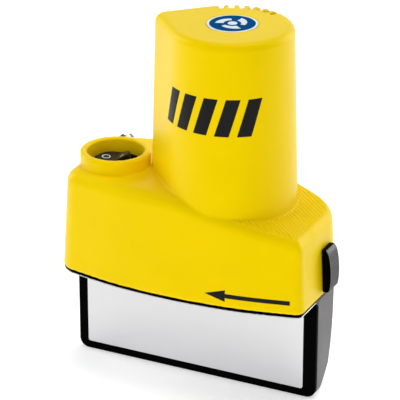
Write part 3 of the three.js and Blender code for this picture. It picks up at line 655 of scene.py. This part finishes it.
def wear(nodes, links, base, light, width=0.55):
    """Lightens convex edges a little, where handling has polished them."""
    geometry = nodes.new("ShaderNodeNewGeometry")
    edge = ramp(nodes, links, geometry.outputs["Pointiness"], (0, 0, 0), (1, 1, 1), (width, width + 0.05))
    mix = nodes.new("ShaderNodeMix")
    mix.data_type = "RGBA"
    links.new(edge.outputs["Color"], mix.inputs["Factor"])
    links.new(base, mix.inputs["A"])
    mix.inputs["B"].default_value = (*light, 1)
    return mix.outputs["Result"]


def shaded(color, factor):
    return tuple(channel * factor for channel in color)


def plastic(name, color, roughness, grain=2600, grain_depth=0.00002, gloss=0.5, vary=0.05,
            sheen=(1, 1, 1)):
    """A moulded plastic: a fine eroded grain, slight colour drift and uneven gloss."""
    material, nodes, links, shader = new_material(name)
    drift = noise(nodes, links, 45, 4)
    tint = ramp(nodes, links, drift.outputs["Fac"], shaded(color, 1 - vary), shaded(color, 1 + vary))
    links.new(tint.outputs["Color"], shader.inputs["Base Color"])
    patches = noise(nodes, links, 180, 5)
    roughen(nodes, links, shader, patches.outputs["Fac"], roughness, 0.1)
    fine = noise(nodes, links, grain, 2)
    bump(nodes, links, shader, fine.outputs["Fac"], 0.35, grain_depth)
    shader.inputs["Specular IOR Level"].default_value = gloss
    shader.inputs["Specular Tint"].default_value = (*sheen, 1)
    return material


def metal(name, color, roughness, stretch=(1, 1, 1), scale=2500, depth=0.000008, vary=0.06):
    """A bare metal with machining or grinding marks, stretched along one direction."""
    material, nodes, links, shader = new_material(name)
    marks = noise(nodes, links, scale, 4, 0.6, stretch)
    tint = ramp(nodes, links, marks.outputs["Fac"], shaded(color, 1 - vary), shaded(color, 1 + vary))
    worn = wear(nodes, links, tint.outputs["Color"], shaded(color, 1.15))
    links.new(worn, shader.inputs["Base Color"])
    roughen(nodes, links, shader, marks.outputs["Fac"], roughness, 0.2)
    bump(nodes, links, shader, marks.outputs["Fac"], 0.3, depth)
    shader.inputs["Metallic"].default_value = 1.0
    return material


def abrasive_material():
    """Bonded grit: dark red-brown grains of uneven size."""
    material, nodes, links, shader = new_material("bonded_grit")
    coordinates = nodes.new("ShaderNodeTexCoord")
    grains = nodes.new("ShaderNodeTexVoronoi")
    grains.inputs["Scale"].default_value = 2200
    links.new(coordinates.outputs["Object"], grains.inputs["Vector"])
    tint = ramp(nodes, links, grains.outputs["Distance"], (0.32, 0.13, 0.07), (0.12, 0.045, 0.03),
                (0.1, 0.8))
    links.new(tint.outputs["Color"], shader.inputs["Base Color"])
    bump(nodes, links, shader, grains.outputs["Distance"], 0.8, 0.00012)
    shader.inputs["Roughness"].default_value = 0.9
    return material


INK_GRAIN = (3000, 0.000005)
YELLOW = plastic("yellow_moulding", (0.94, 0.67, 0.0), 0.36, gloss=0.28, vary=0.015, sheen=(1, 0.75, 0.0))
BLACK = plastic("black_gloss_moulding", (0.001, 0.001, 0.001), 0.25, grain=1800, grain_depth=0.000008,
                gloss=0.01)
BLACK_SATIN = plastic("black_satin_moulding", (0.003, 0.003, 0.003), 0.3, gloss=0.12)
GREY = plastic("grey_matte_moulding", (0.20, 0.195, 0.20), 0.6, grain=1700, grain_depth=0.00008, gloss=0.3,
               vary=0.1)
# Grey copy of the black latch plastic for the out-facing rib crests: painted sheen of the light from the
# right.
LIT_RIB_GREY = plastic("latch_rib_painted_sheen", (0.19, 0.185, 0.19), 0.5, grain=2200, grain_depth=0.00003, gloss=0.3)
PRINT = plastic("black_print", (0.004, 0.004, 0.004), 0.4, *INK_GRAIN, gloss=0.15)
BLUE = plastic("blue_print", (0.003, 0.075, 0.235), 0.5, *INK_GRAIN, gloss=0.0)
WHITE = plastic("white_print", (0.80, 0.88, 0.94), 0.4, *INK_GRAIN, gloss=0.3)
PLATE = metal("satin_plate", (0.72, 0.72, 0.735), 0.42, (60, 1, 1), 60, 0.000006, 0.012)
STEEL = metal("zinc_steel", (0.60, 0.61, 0.62), 0.32)
CHROME = metal("polished_chrome", (0.86, 0.86, 0.88), 0.1, scale=800, depth=0.000004, vary=0.02)
BRASS = metal("brass", (0.66, 0.47, 0.18), 0.3)
ALUMINIUM = metal("turned_aluminium", (0.62, 0.63, 0.64), 0.36)
CARBON = plastic("sintered_carbon", (0.03, 0.03, 0.032), 0.6, grain=2500, grain_depth=0.00004, vary=0.2)
RED = plastic("red_insulation", (0.42, 0.015, 0.012), 0.4)
GRIT = abrasive_material()

# ------------------------ housing

LOW_HOUSING = (-59.5, -26, 44.5)
HIGH_HOUSING = (59.5, 42, 161.5)


def refine_ribs(obj):
    """Splits the faces under the ribs and lays them on the ribbed surface."""
    bm = bmesh.new()
    bm.from_mesh(obj.data)
    bm.faces.ensure_lookup_table()
    centres = to_drawing([face.calc_center_median() for face in bm.faces])
    normals = np.array([face.normal for face in bm.faces])
    on_deck = (normals[:, 2] > 0.6) & (np.abs(centres[:, 2] - deck_height(centres[:, 0])) < 1.5)
    ribbed = on_deck & (rib_mask(centres[:, 0], centres[:, 1]) > 0.001)
    edges = {edge for k in np.flatnonzero(ribbed) for edge in bm.faces[k].edges}
    bmesh.ops.subdivide_edges(bm, edges=list(edges), cuts=2, use_grid_fill=True)
    bm.verts.ensure_lookup_table()
    places = to_drawing([vert.co for vert in bm.verts])
    near = np.abs(places[:, 2] - deck_height(places[:, 0])) < 0.6
    near &= rib_mask(places[:, 0], places[:, 1]) > 0
    moved = onto_field(lambda p: housing_field(p, ribs=True), places[near], rounds=4)
    for k, place in zip(np.flatnonzero(near), to_metres(moved)):
        bm.verts[k].co = place
    bm.to_mesh(obj.data)
    bm.free()
    obj.data.shade_smooth()


housing = moulded("body_moulding", housing_field, LOW_HOUSING, HIGH_HOUSING, 0.75, "body",
                  YELLOW, ("housing",))
refine_ribs(housing)

# ------------------------ base plate


def base_openings(p, plate):
    """Cuts what both base plates leave open: the disc, screws, angle lock and end cheeks."""
    x, y, z = xyz(p)
    plate = without(plate, post(x, y, AXIS, DISC_R + 1), 0.2)
    for centre in BASE_SCREWS:
        plate = without(plate, np.maximum(post(x, y, centre, 3.1), z - WEAR_Z - 1.7), 0.15)
    out, across, up = to_wall(p)
    plate = without(plate, common(slab(out + 4.35, 2.85), slab(across, 3.6), up + 5))
    notch = common(CHEEK_X - GAP - np.abs(x), slab(y - 11.65, 9.85), z - PLATE_STEP_Z - 0.4)
    return without(plate, notch)


def base_plate_field(p):
    x, y, z = xyz(p)
    rim = RIM_FIELD(x, y)
    flange = both(rim + 0.3, slab(z - (PLATE_Z + PLATE_STEP_Z) / 2, (PLATE_STEP_Z - PLATE_Z) / 2), 0.25)
    step = slab(z - (PLATE_Z + PLATE_TOP_Z) / 2, (PLATE_TOP_Z - PLATE_Z) / 2)
    step = np.maximum(rim + WALL + 0.45, step)
    plate = np.minimum(flange, step)
    for side in (1, -1):
        across = np.hypot(y - TILT_Y, np.maximum(TILT_Z - z, 0)) - LUG_R
        lug = common(slab(side * x - LUG_MIDDLE, LUG_HALF), across, z - PLATE_STEP_Z)
        plate = either(plate, lug, 0.3)
    pin = np.hypot(y - TILT_Y, z - TILT_Z) - SCREW_R - GAP
    plate = without(plate, np.where(z < PLATE_Z - 1, pin, FAR))
    for centre in BASE_SCREWS:
        plate = without(plate, post(x, y, centre, SCREW_R + GAP))
    return base_openings(p, plate)


def wear_plate_field(p):
    x, y, z = xyz(p)
    plate = both(RIM_FIELD(x, y) + 0.5, slab(z - WEAR_Z - WEAR_THICK / 2, WEAR_THICK / 2), 0.1)
    lug = np.maximum(slab(np.abs(x) - LUG_MIDDLE, LUG_HALF + GAP), slab(y - TILT_Y, LUG_R + GAP))
    return base_openings(p, without(plate, lug))


moulded("base_cover", base_plate_field, (-59, -26, 34.5), (59, 41.5, 49), 0.6, "body",
        BLACK, ("base_plate",))
moulded("wear_sheet", wear_plate_field, (-58.6, -25.4, 44.2), (58.6, 40.4, 45.5), 0.3, "body",
        STEEL, ("wear_plate",))

# ------------------------ guide


def bezier(a, b, c, d, t):
    s = 1 - t
    return a * s ** 3 + 3 * b * s * s * t + 3 * c * s * t * t + d * t ** 3


def shell_loop(inset=0.0):
    """Side outline of the guide shell in (y, z), carried on past its flat front."""
    t = np.linspace(0, 1, 50)
    back = np.stack([bezier(14.3, 15.7, 18.8, SHELL_DEPTH, t) - inset * (0.73 + 0.3 * t),
                     bezier(11, 15, 24, SHELL_TOP, t) + inset * (0.69 - 1.69 * t)], axis=1)
    front_y = -20
    return np.concatenate([[(front_y, inset), (FOOT_END_Y - inset * 0.4, inset)], back,
                           [(front_y, SHELL_TOP - inset)]])


def front_outline(x, z, inset=0.0, corner=GUIDE_CORNER):
    """Distance from the guide's front outline, which is open upwards and has rounded lower corners."""
    ends = np.maximum(x - GUIDE_RIGHT, GUIDE_LEFT - x) + inset
    return both(ends, inset - z, corner)


SHELL_FIELD = LoopField(shell_loop(), margin=6, step=0.25)
CAVITY_FIELD = LoopField(shell_loop(SHELL_WALL), margin=6, step=0.25)


def guide_shell_field(p):
    x, y, z = xyz(p)
    front = FRAME_DEPTH + GAP * 0.5
    drop = (SHELL_TOP - FRAME_TOP) * np.clip((TILT_Y - y) / (TILT_Y - front), 0, 1)
    profile = np.maximum(SHELL_FIELD(y, z), z - SHELL_TOP + drop)
    cheek_top = z - CHEEK_TOP + 0.3 * np.clip((9 - y) / 6, 0, 1)
    cheek = common(y - SHELL_DEPTH, SHELL_TOP - 3 - z, CHEEK_X - np.abs(x))
    profile = np.minimum(profile, both(cheek, cheek_top, 0.2))
    outer = both(profile, front_outline(x, z), 0.7)
    cavity = both(CAVITY_FIELD(y, z), front_outline(x, z, SHELL_WALL, 3), 0.8)
    shell = without(outer, np.maximum(cavity, z - SHELL_TOP + SHELL_WALL))
    rib = common(slab(np.abs(x) - 43.1, 1.1), 30 - z, WEB_BACK + GAP - y, outer)
    shell = np.minimum(shell, rib)
    shell = np.maximum(shell, front - y)
    across = slab(np.abs(x) - LUG_MIDDLE, LUG_HALF + GAP)
    shell = without(shell, common(across, slab(y - TILT_Y, LUG_R + 3 * GAP), SHELL_TOP - 6 - z))
    pin = np.hypot(y - TILT_Y, z - TILT_Z) - SCREW_R - GAP
    pin = np.maximum(pin, slab(np.abs(x) - 48.2, 7.2))
    return without(shell, pin)


moulded("guide_back_shell", guide_shell_field, (-58.5, 0.5, -1.5), (58.5, 21, 47.2), 0.6, "guide",
        GREY, ("guide_shell", "guide_cheek_left", "guide_cheek_right"))


def rectangle_ring(left, right, low, high, low_radius, high_radius, steps=6):
    """Points of an upright rectangle with rounded corners, in (x, z)."""
    points = []
    for x, z, radius, start in ((right, low, low_radius, -90), (right, high, high_radius, 0),
                                (left, high, high_radius, 90), (left, low, low_radius, 180)):
        cx = x - radius if x == right else x + radius
        cz = z + radius if z == low else z - radius
        for k in range(steps + 1):
            angle = math.radians(start + 90 * k / steps)
            points.append((cx + radius * math.cos(angle), cz + radius * math.sin(angle)))
    return points


def framed(name, rings, body, material, replaces):
    """A closed piece through upright rings, each given as (points in x and z, y)."""
    count = len(rings[0][0])
    vertices = [(x, y, z) for points, y in rings for x, z in points]
    faces = []
    for k in range(len(rings) - 1):
        for i in range(count):
            a, b = k * count + i, k * count + (i + 1) % count
            faces.append((a, b, b + count, a + count))
    faces.append(tuple(range(count))[::-1])
    faces.append(tuple((len(rings) - 1) * count + i for i in range(count)))
    return dressed(piece(name, vertices, faces, body, material, replaces), 30)


def guide_frame():
    """Front frame: a rounded rim around the pocket of the slide plate, and the web behind it."""
    edge = 0.9

    def outer_ring(inset, y):
        return rectangle_ring(GUIDE_LEFT + inset, GUIDE_RIGHT - inset, inset, FRAME_TOP - 0.05 * inset,
                              GUIDE_CORNER - inset, 0.8), y

    def pocket_ring(grow, y):
        gap = 0.12 + grow
        return rectangle_ring(PLATE_LEFT - gap, PLATE_RIGHT + gap, PLATE_BOTTOM - gap, FRAME_TOP - 0.25,
                              1.2, 0.3), y

    def web_ring(inset, y):
        return rectangle_ring(-WEB_HALF + inset, WEB_HALF - inset, 3.8 + inset, FRAME_TOP - 3.4 - inset,
                              0.8, 0.8), y

    rings = [pocket_ring(0, PLATE_THICK + GAP), pocket_ring(0, 0.4), pocket_ring(0.1, 0.23),
             pocket_ring(0.3, FRAME_FRONT), outer_ring(edge + 0.3, FRAME_FRONT)]
    steps = 5
    for k in range(steps + 1):
        angle = math.pi / 2 * k / steps
        rings.append(outer_ring(edge * (1 - math.sin(angle)), FRAME_FRONT + edge * (1 - math.cos(angle))))
    rings += [outer_ring(0, FRAME_DEPTH), web_ring(0, FRAME_DEPTH), web_ring(0, WEB_BACK - 0.3),
              web_ring(0.3, WEB_BACK)]
    return framed("guide_front_frame", rings, "guide", BLACK, ("guide_frame",))


def slide_plate():
    bevel = 0.3

    def ring(inset, y):
        return rectangle_ring(PLATE_LEFT + inset, PLATE_RIGHT - inset, PLATE_BOTTOM + inset,
                              FRAME_TOP - 0.4 - inset, 1.1, 0.5), y

    rings = [ring(0.2, PLATE_THICK), ring(0, PLATE_THICK - 0.2), ring(0, bevel)]
    steps = 4
    for k in range(1, steps + 1):
        angle = math.pi / 2 * k / steps
        rings.append(ring(bevel * (1 - math.cos(angle)), bevel * (1 - math.sin(angle))))
    return framed("running_plate", rings, "guide", PLATE, ("slide_plate",))


guide_frame()
slide_plate()

# ------------------------ end latch

LATCH_RIBS = 15
LATCH_RIB_PITCH = 1.1
LATCH_RIB_DEPTH = 0.35


def latch_groove(across, up):
    """0 on the crest of a rib of the thumb piece and outside the ribbed field, 1 in a groove."""
    wave = 0.5 - 0.5 * np.cos(2 * math.pi * up / LATCH_RIB_PITCH)
    ribbed = (np.abs(up) < LATCH_RIBS * LATCH_RIB_PITCH / 2) & (np.abs(across) < LATCH_WIDTH / 2 - 0.3)
    return wave * ribbed


def latch_field(p):
    out, across, up = to_wall(p)
    half = LATCH_WIDTH / 2
    face = out - LATCH_CREST + LATCH_BOW * up ** 2 + LATCH_RIB_DEPTH * latch_groove(across, up)
    thumb = both(face, (out + up - LATCH_TOP - LATCH_CHAMFER) * math.sqrt(0.5), 1.0)
    thumb = both(thumb, up - LATCH_TOP, 0.3)
    thumb = both(thumb, LATCH_FOOT - up, 1.5)
    thumb = both(thumb, slab(across, half), 0.3)
    thumb = np.maximum(thumb, GAP - out)
    stem = common(slab(across, 2), slab(out + 1.5, 2.3), slab(up + 1.75, 5.15))
    return np.minimum(thumb, stem)


def latch():
    """The thumb piece, black; the rib crests facing out along +X take a grey copy of its plastic, a painted
    sheen where the light from the right falls on them.
    """
    obj = moulded("latch_thumb_piece", latch_field, (49.5, 3.5, 46), (61.5, 18, 69), 0.16, "latch",
                  BLACK, ("latch_slider",))
    obj.data.materials.append(LIT_RIB_GREY)
    for face in obj.data.polygons:
        _, across, up = to_wall(to_drawing([face.center]))
        # Rib crests turned out towards the light from the right get the grey copy: painted sheen.
        if face.normal.x > 0.35 and latch_groove(across, up)[0] < 0.6:
            face.material_index = 1
    return obj


latch()

# ------------------------ switch


def to_rocker(p):
    x, z = p[..., 0] - COLLAR_X, p[..., 2] - ROCKER_Z
    c, s = math.cos(ROCKER_TILT), math.sin(ROCKER_TILT)
    return c * x + s * z, p[..., 1] - COLLAR_Y, -s * x + c * z


def rocker_field(p):
    x, y, z = to_rocker(p)
    side = np.hypot(x, y) - ROCKER_R
    dish = ROCKER_CREST + ROCKER_SLOPE * np.hypot(x, ROCKER_FOLD)
    face = (z - dish) * 0.96
    under = (-2.4 + 0.2 * np.abs(x) - z) * 0.96
    return both(both(side, face, 0.45), under, 0.3)


moulded("rocker_cap", rocker_field, (-50, -6.5, 83), (-29, 12.5, 97.5), 0.24, "rocker",
        BLACK_SATIN, ("switch_rocker",))


def on_rocker(points):
    """Carries (x, y) points of a mark onto the rocker's upper face, a hair above it."""
    c, s = math.cos(ROCKER_TILT), math.sin(ROCKER_TILT)
    result = []
    for x, y in points:
        z = ROCKER_CREST + ROCKER_SLOPE * math.hypot(x, ROCKER_FOLD) + 0.02
        result.append((COLLAR_X + c * x - s * z, COLLAR_Y + y, ROCKER_Z + s * x + c * z))
    return result


def rocker_ring_mark():
    """The off mark: a plain ring."""
    steps = 40
    points = [(-3.5 + r * math.cos(2 * math.pi * k / steps), r * math.sin(2 * math.pi * k / steps))
              for k in range(steps) for r in (1.4, 1.85)]
    faces = [(2 * k, 2 * k + 1, (2 * k + 3) % (2 * steps), (2 * k + 2) % (2 * steps)) for k in range(steps)]
    thicken(piece("mark_off", on_rocker(points), faces, "rocker", WHITE))


def rocker_bar_mark():
    """The on mark: a plain bar."""
    points = [(x, y) for y in np.linspace(-1.5, 1.5, 7) for x in (4.0, 4.4)]
    faces = [(2 * k, 2 * k + 1, 2 * k + 3, 2 * k + 2) for k in range(6)]
    thicken(piece("mark_on", on_rocker(points), faces, "rocker", WHITE))


def thicken(obj, thickness=0.05):
    modifier = obj.modifiers.new("film", "SOLIDIFY")
    modifier.thickness = thickness * MM
    modifier.offset = 0
    return obj


rocker_ring_mark()
rocker_bar_mark()
bezel_outline = [(ROCKER_MOUTH_R, WELL_FLOOR + GAP), (BEZEL_R, WELL_FLOOR + GAP),
                 (BEZEL_R, WELL_FLOOR + 1.5), (BEZEL_R - 0.6, WELL_FLOOR + 2),
                 (ROCKER_MOUTH_R, WELL_FLOOR + 2)]
turned("switch_bezel_ring", fillet_outline(bezel_outline), "body", BLACK,
       ("switch_bezel",), centre=COLLAR)

# ------------------------ power inlet


def at_inlet(points):
    """Lays a body of revolution along the inlet's axis."""
    c, s = math.cos(INLET_AZIMUTH), math.sin(INLET_AZIMUTH)
    x, y, h = points[:, 0], points[:, 1], points[:, 2]
    return INLET + np.stack([h * c - y * s, h * s + y * c, x], axis=1)


def inlet():
    outline = [(3.4, -9.6), (INLET_R, -9.6), (INLET_R, 0.5), (6, 0.5), (6, 2), (INLET_R - 0.2, 2.4)]
    turns, pitch = 9, 0.7
    root = INLET_R - 0.35
    for k in range(turns):
        s = 2.8 + k * pitch
        outline += [(root, s), (INLET_R, s + 0.2), (INLET_R, s + 0.4), (root, s + 0.6)]
    outline += [(INLET_R, 9.4), (INLET_R, 10), (4.4, INLET_END), (3.4, INLET_END)]
    turned("inlet_socket", fillet_outline(outline, 0.1, 2), "body", CHROME, ("inlet_barrel",),
           place=at_inlet)


inlet()

# ------------------------ grinding disc and screws

DISC_BORE_R = 9
disc_outline = [(DISC_BORE_R, DISC_FACE_Z), (DISC_R, DISC_FACE_Z), (DISC_R, DISC_BACK_Z),
                (DISC_BORE_R, DISC_BACK_Z)]
turned("abrasive_disc", fillet_outline(disc_outline, 0.4), "rotor", GRIT,
       ("grinding_disc",), segments=160, centre=AXIS)


def screw_head(name, node, centre, low, radius, height, body):
    """A pan head with a hexagon socket, over a plain shank."""
    sides = 72
    socket = radius * 0.5
    vertices, faces = [], []

    def ring(radius_of, z):
        start = len(vertices)
        for k in range(sides):
            angle = 2 * math.pi * k / sides
            r = radius_of(angle)
            vertices.append((centre[0] + r * math.cos(angle), centre[1] + r * math.sin(angle), z))
        return start

    def hexagon(angle):
        folded = (angle + math.pi / 6) % (math.pi / 3) - math.pi / 6
        return socket / math.cos(folded)

    def circle(r):
        return lambda angle: r

    stations = [ring(hexagon, low + height * 0.6), ring(hexagon, low + 0.12),
                ring(lambda a: hexagon(a) + 0.12, low)]
    steps, rounding = 5, 0.6
    for k in range(steps + 1):
        angle = math.pi / 2 * k / steps
        stations.append(ring(circle(radius - rounding * (1 - math.sin(angle))),
                             low + rounding * (1 - math.cos(angle))))
    for r, z in ((radius, 0), (SCREW_R, 0), (SCREW_R, 10.6), (SCREW_R - 0.4, 11)):
        stations.append(ring(circle(r), low + height + z))
    for a, b in zip(stations, stations[1:]):
        for k in range(sides):
            following = (k + 1) % sides
            faces.append((a + k, a + following, b + following, b + k))
    faces.append(tuple(range(sides))[::-1])
    faces.append(tuple(stations[-1] + k for k in range(sides)))
    dressed(piece(name, vertices, faces, body, STEEL, (node,)), 30)


for number, centre in enumerate(BASE_SCREWS, start=1):
    screw_head(f"cover_screw_{number}", f"base_screw_{number}", centre, WEAR_Z + 0.1, 2.8, 1.3, "body")
screw_head("disc_clamp_screw", "disc_screw", AXIS, 45.7, 5, 2.4, "rotor")

# ------------------------ prints


def flat_faces(outlines, spacing=1.0):
    """Cuts flat outlines in (u, v) into small faces, so that they can follow a curved surface."""
    bm = bmesh.new()
    for outline in outlines:
        bm.faces.new([bm.verts.new((u, v, 0)) for u, v in outline])
    bmesh.ops.triangulate(bm, faces=bm.faces)
    points = np.array([vert.co for vert in bm.verts])
    for axis in (0, 1):
        normal = Vector((1, 0, 0)) if axis == 0 else Vector((0, 1, 0))
        for at in np.arange(points[:, axis].min() + spacing / 2, points[:, axis].max(), spacing):
            everything = bm.verts[:] + bm.edges[:] + bm.faces[:]
            bmesh.ops.bisect_plane(bm, geom=everything, plane_co=normal * at, plane_no=normal)
    bm.verts.index_update()
    vertices = np.array([vert.co[:2] for vert in bm.verts])
    faces = [[vert.index for vert in face.verts] for face in bm.faces]
    bm.free()
    return vertices, faces


def onto_body(points, directions, lift=0.04):
    """Drops points along their directions onto the body's surface, and lifts them off it a little."""
    travel = np.zeros(len(points))
    for _ in range(60):
        value = housing_field(points + directions * travel[:, None])
        travel += value * 0.9
    return points + directions * (travel - lift)[:, None]


def front_print(name, outlines):
    """A print on the body's front face, from outlines in (x, z)."""
    flat, faces = flat_faces(outlines)
    start = np.stack([flat[:, 0], np.full(len(flat), -30.0), flat[:, 1]], axis=1)
    points = onto_body(start, np.tile([0.0, 1.0, 0.0], (len(flat), 1)))
    thicken(piece(name, points, faces, "body", PRINT))


def tower_print(name, outlines):
    """A print wrapped round the tower, from outlines in (arc length, z)."""
    flat, faces = flat_faces(outlines)
    angle = flat[:, 0] / (TOWER_R + 1.8) - math.pi / 2
    outward = np.stack([np.cos(angle), np.sin(angle), np.zeros(len(flat))], axis=1)
    start = np.array([AXIS_X, AXIS_Y, 0]) + outward * 40
    start[:, 2] = flat[:, 1]
    points = onto_body(start, -outward)
    thicken(piece(name, points, faces, "body", PRINT))


ARROW_TAIL, ARROW_TIP = 51.6, 15.4
ARROW_Z = 51.6
ARROW_NECK = ARROW_TIP + 9
HEAD_HALF, SHAFT_HALF = 2.6, 0.95
front_print("direction_arrow", [
    [(ARROW_TIP, ARROW_Z), (ARROW_NECK, ARROW_Z - HEAD_HALF), (ARROW_NECK, ARROW_Z + HEAD_HALF)],
    [(ARROW_NECK, ARROW_Z - SHAFT_HALF), (ARROW_TAIL, ARROW_Z - SHAFT_HALF),
     (ARROW_TAIL, ARROW_Z + SHAFT_HALF), (ARROW_NECK, ARROW_Z + SHAFT_HALF)],
])

STRIPES = 5
STRIPE_START, STRIPE_STEP = -24.1, 9.7          # arc lengths from the tower's front
STRIPE_LOW, STRIPE_HIGH = 121, 137
STRIPE_WIDTH, STRIPE_SLANT = 6.2, 5
tower_print("tower_stripes", [
    [(s, STRIPE_LOW), (s + STRIPE_WIDTH, STRIPE_LOW),
     (s + STRIPE_WIDTH + STRIPE_SLANT, STRIPE_HIGH), (s + STRIPE_SLANT, STRIPE_HIGH)]
    for s in (STRIPE_START + STRIPE_STEP * k for k in range(STRIPES))
])

# ------------------------ tower label

LABEL_AXIS = (AXIS_X, LABEL_Y)


def label():
    top = TOWER_TOP
    low = TOWER_TOP - GAP
    turned("label_disc", fillet_outline([(0, low), (LABEL_R, low), (LABEL_R, top), (0, top)], 0.1, 2),
           "body", WHITE, ("top_label",), centre=LABEL_AXIS)
    field_outline = [(0, top), (LABEL_R - 1, top), (LABEL_R - 1, top + 0.05), (0, top + 0.05)]
    turned("label_field", fillet_outline(field_outline, 0.02), "body", BLUE,
           centre=LABEL_AXIS)
    vanes, count = 3, 16
    for k in range(vanes):
        start = 2 * math.pi * k / vanes
        angles = np.linspace(start, start + 1.45, count)
        inner = [(3.6 * math.cos(a), 3.6 * math.sin(a)) for a in angles]
        outer = [((5.4 + 1.8 * t) * math.cos(a), (5.4 + 1.8 * t) * math.sin(a))
                 for a, t in zip(angles, np.linspace(0, 1, count))]
        points = [(AXIS_X + x, LABEL_Y + y, top + 0.09) for x, y in inner + outer]
        faces = [(i, i + 1, count + 1 + i, count + i) for i in range(count - 1)]
        thicken(piece(f"label_vane_{k + 1}", points, faces, "body", WHITE))
    hub_outline = [(0, top + 0.05), (2, top + 0.05), (2, top + 0.11), (0, top + 0.11)]
    turned("label_hub", fillet_outline(hub_outline, 0.02), "body", WHITE,
           centre=LABEL_AXIS)


label()

# ------------------------ materials of the CAD nodes kept

NODE_MATERIALS = {
    "steel": STEEL, "brass": BRASS, "aluminium": ALUMINIUM, "carbon": CARBON, "chrome": CHROME,
    "black_plastic": BLACK_SATIN, "red_lead": RED, "black_lead": BLACK_SATIN, "abrasive": GRIT,
    "yellow_plastic": YELLOW, "grey_plastic": GREY, "label_print": BLUE, "plate_metal": PLATE,
}
for entry in frame["record"]["subparts"]:
    node = frame["nodes"][entry["node"]]
    node.data.materials.clear()
    node.data.materials.append(NODE_MATERIALS[entry["material_slot"]])

# ------------------------ studio


def studio_floor():
    """A white floor that bends up into a back wall; it glows a little, like an overlit backdrop."""
    low = CAD_BOX[0][2]
    mesh = bpy.data.meshes.new("studio_floor")
    size, rise, back, bend = 6.0, 2.5, 1.6, 0.8
    steps = 12
    profile = [(-size, low), (back, low)]
    for k in range(1, steps + 1):
        angle = math.pi / 2 * k / steps
        profile.append((back + bend * math.sin(angle), low + bend * (1 - math.cos(angle))))
    profile.append((back + bend, low + rise))
    vertices = [(x, y, z) for y, z in profile for x in (-size, size)]
    faces = [(2 * i, 2 * i + 1, 2 * i + 3, 2 * i + 2) for i in range(len(profile) - 1)]
    mesh.from_pydata(vertices, [], faces)
    mesh.shade_smooth()
    floor = bpy.data.objects.new("studio_floor", mesh)
    bpy.context.scene.collection.objects.link(floor)
    material, nodes, links, shader = new_material("studio_white")
    speckle = noise(nodes, links, 6, 2)
    tint = ramp(nodes, links, speckle.outputs["Fac"], (0.93, 0.93, 0.93), (0.95, 0.95, 0.95))
    links.new(tint.outputs["Color"], shader.inputs["Base Color"])
    shader.inputs["Roughness"].default_value = 0.9
    shader.inputs["Emission Color"].default_value = (1, 1, 1, 1)
    shader.inputs["Emission Strength"].default_value = 0.42
    mesh.materials.append(material)


def area_light(name, place, target, power, width, height):
    light = bpy.data.lights.new(name, "AREA")
    light.shape = "RECTANGLE"
    light.size = width
    light.size_y = height
    light.energy = power
    obj = bpy.data.objects.new(name, light)
    obj.location = place
    obj.rotation_euler = (Vector(target) - Vector(place)).to_track_quat("-Z", "Y").to_euler()
    bpy.context.scene.collection.objects.link(obj)


def world(strength):
    background = bpy.data.worlds.new("studio_world")
    background.use_nodes = True
    inputs = background.node_tree.nodes["Background"].inputs
    inputs["Color"].default_value = (1, 1, 1, 1)
    inputs["Strength"].default_value = strength
    bpy.context.scene.world = background


CAMERA_AZIMUTH = math.radians(26.2)
CAMERA_ELEVATION = math.radians(23.8)
CAMERA_DISTANCE = 1.087
CAMERA_TARGET = Vector((-0.01125, 0.0237, 0.0689))


def camera():
    data = bpy.data.cameras.new("camera")
    data.lens = 225
    data.sensor_width = 36
    data.clip_end = 50
    obj = bpy.data.objects.new("camera", data)
    away = Vector((math.sin(CAMERA_AZIMUTH) * math.cos(CAMERA_ELEVATION),
                   -math.cos(CAMERA_AZIMUTH) * math.cos(CAMERA_ELEVATION), math.sin(CAMERA_ELEVATION)))
    obj.location = CAMERA_TARGET + away * CAMERA_DISTANCE
    obj.rotation_euler = (-away).to_track_quat("-Z", "Y").to_euler()
    bpy.context.scene.collection.objects.link(obj)
    bpy.context.scene.camera = obj


studio_floor()
world(0.03)
MIDDLE = (0, 0, 0.08)
area_light("front_left_soft", (-0.75, -1.2, 0.8), MIDDLE, 4.2, 0.7, 0.7)
area_light("front_right_soft", (0.6, -1.3, 0.5), MIDDLE, 5.7, 0.7, 0.7)
area_light("left_soft", (-1.3, 0.1, 0.6), MIDDLE, 6.9, 0.6, 1.0)
area_light("back_right_soft", (0.7, 1.1, 0.5), MIDDLE, 5.2, 0.6, 1.0)
area_light("top_soft", (0.1, 0.2, 1.5), (0, 0, 0.1), 12.0, 1.0, 1.0)
camera()
bpy.context.scene.view_settings.view_transform = "Standard"
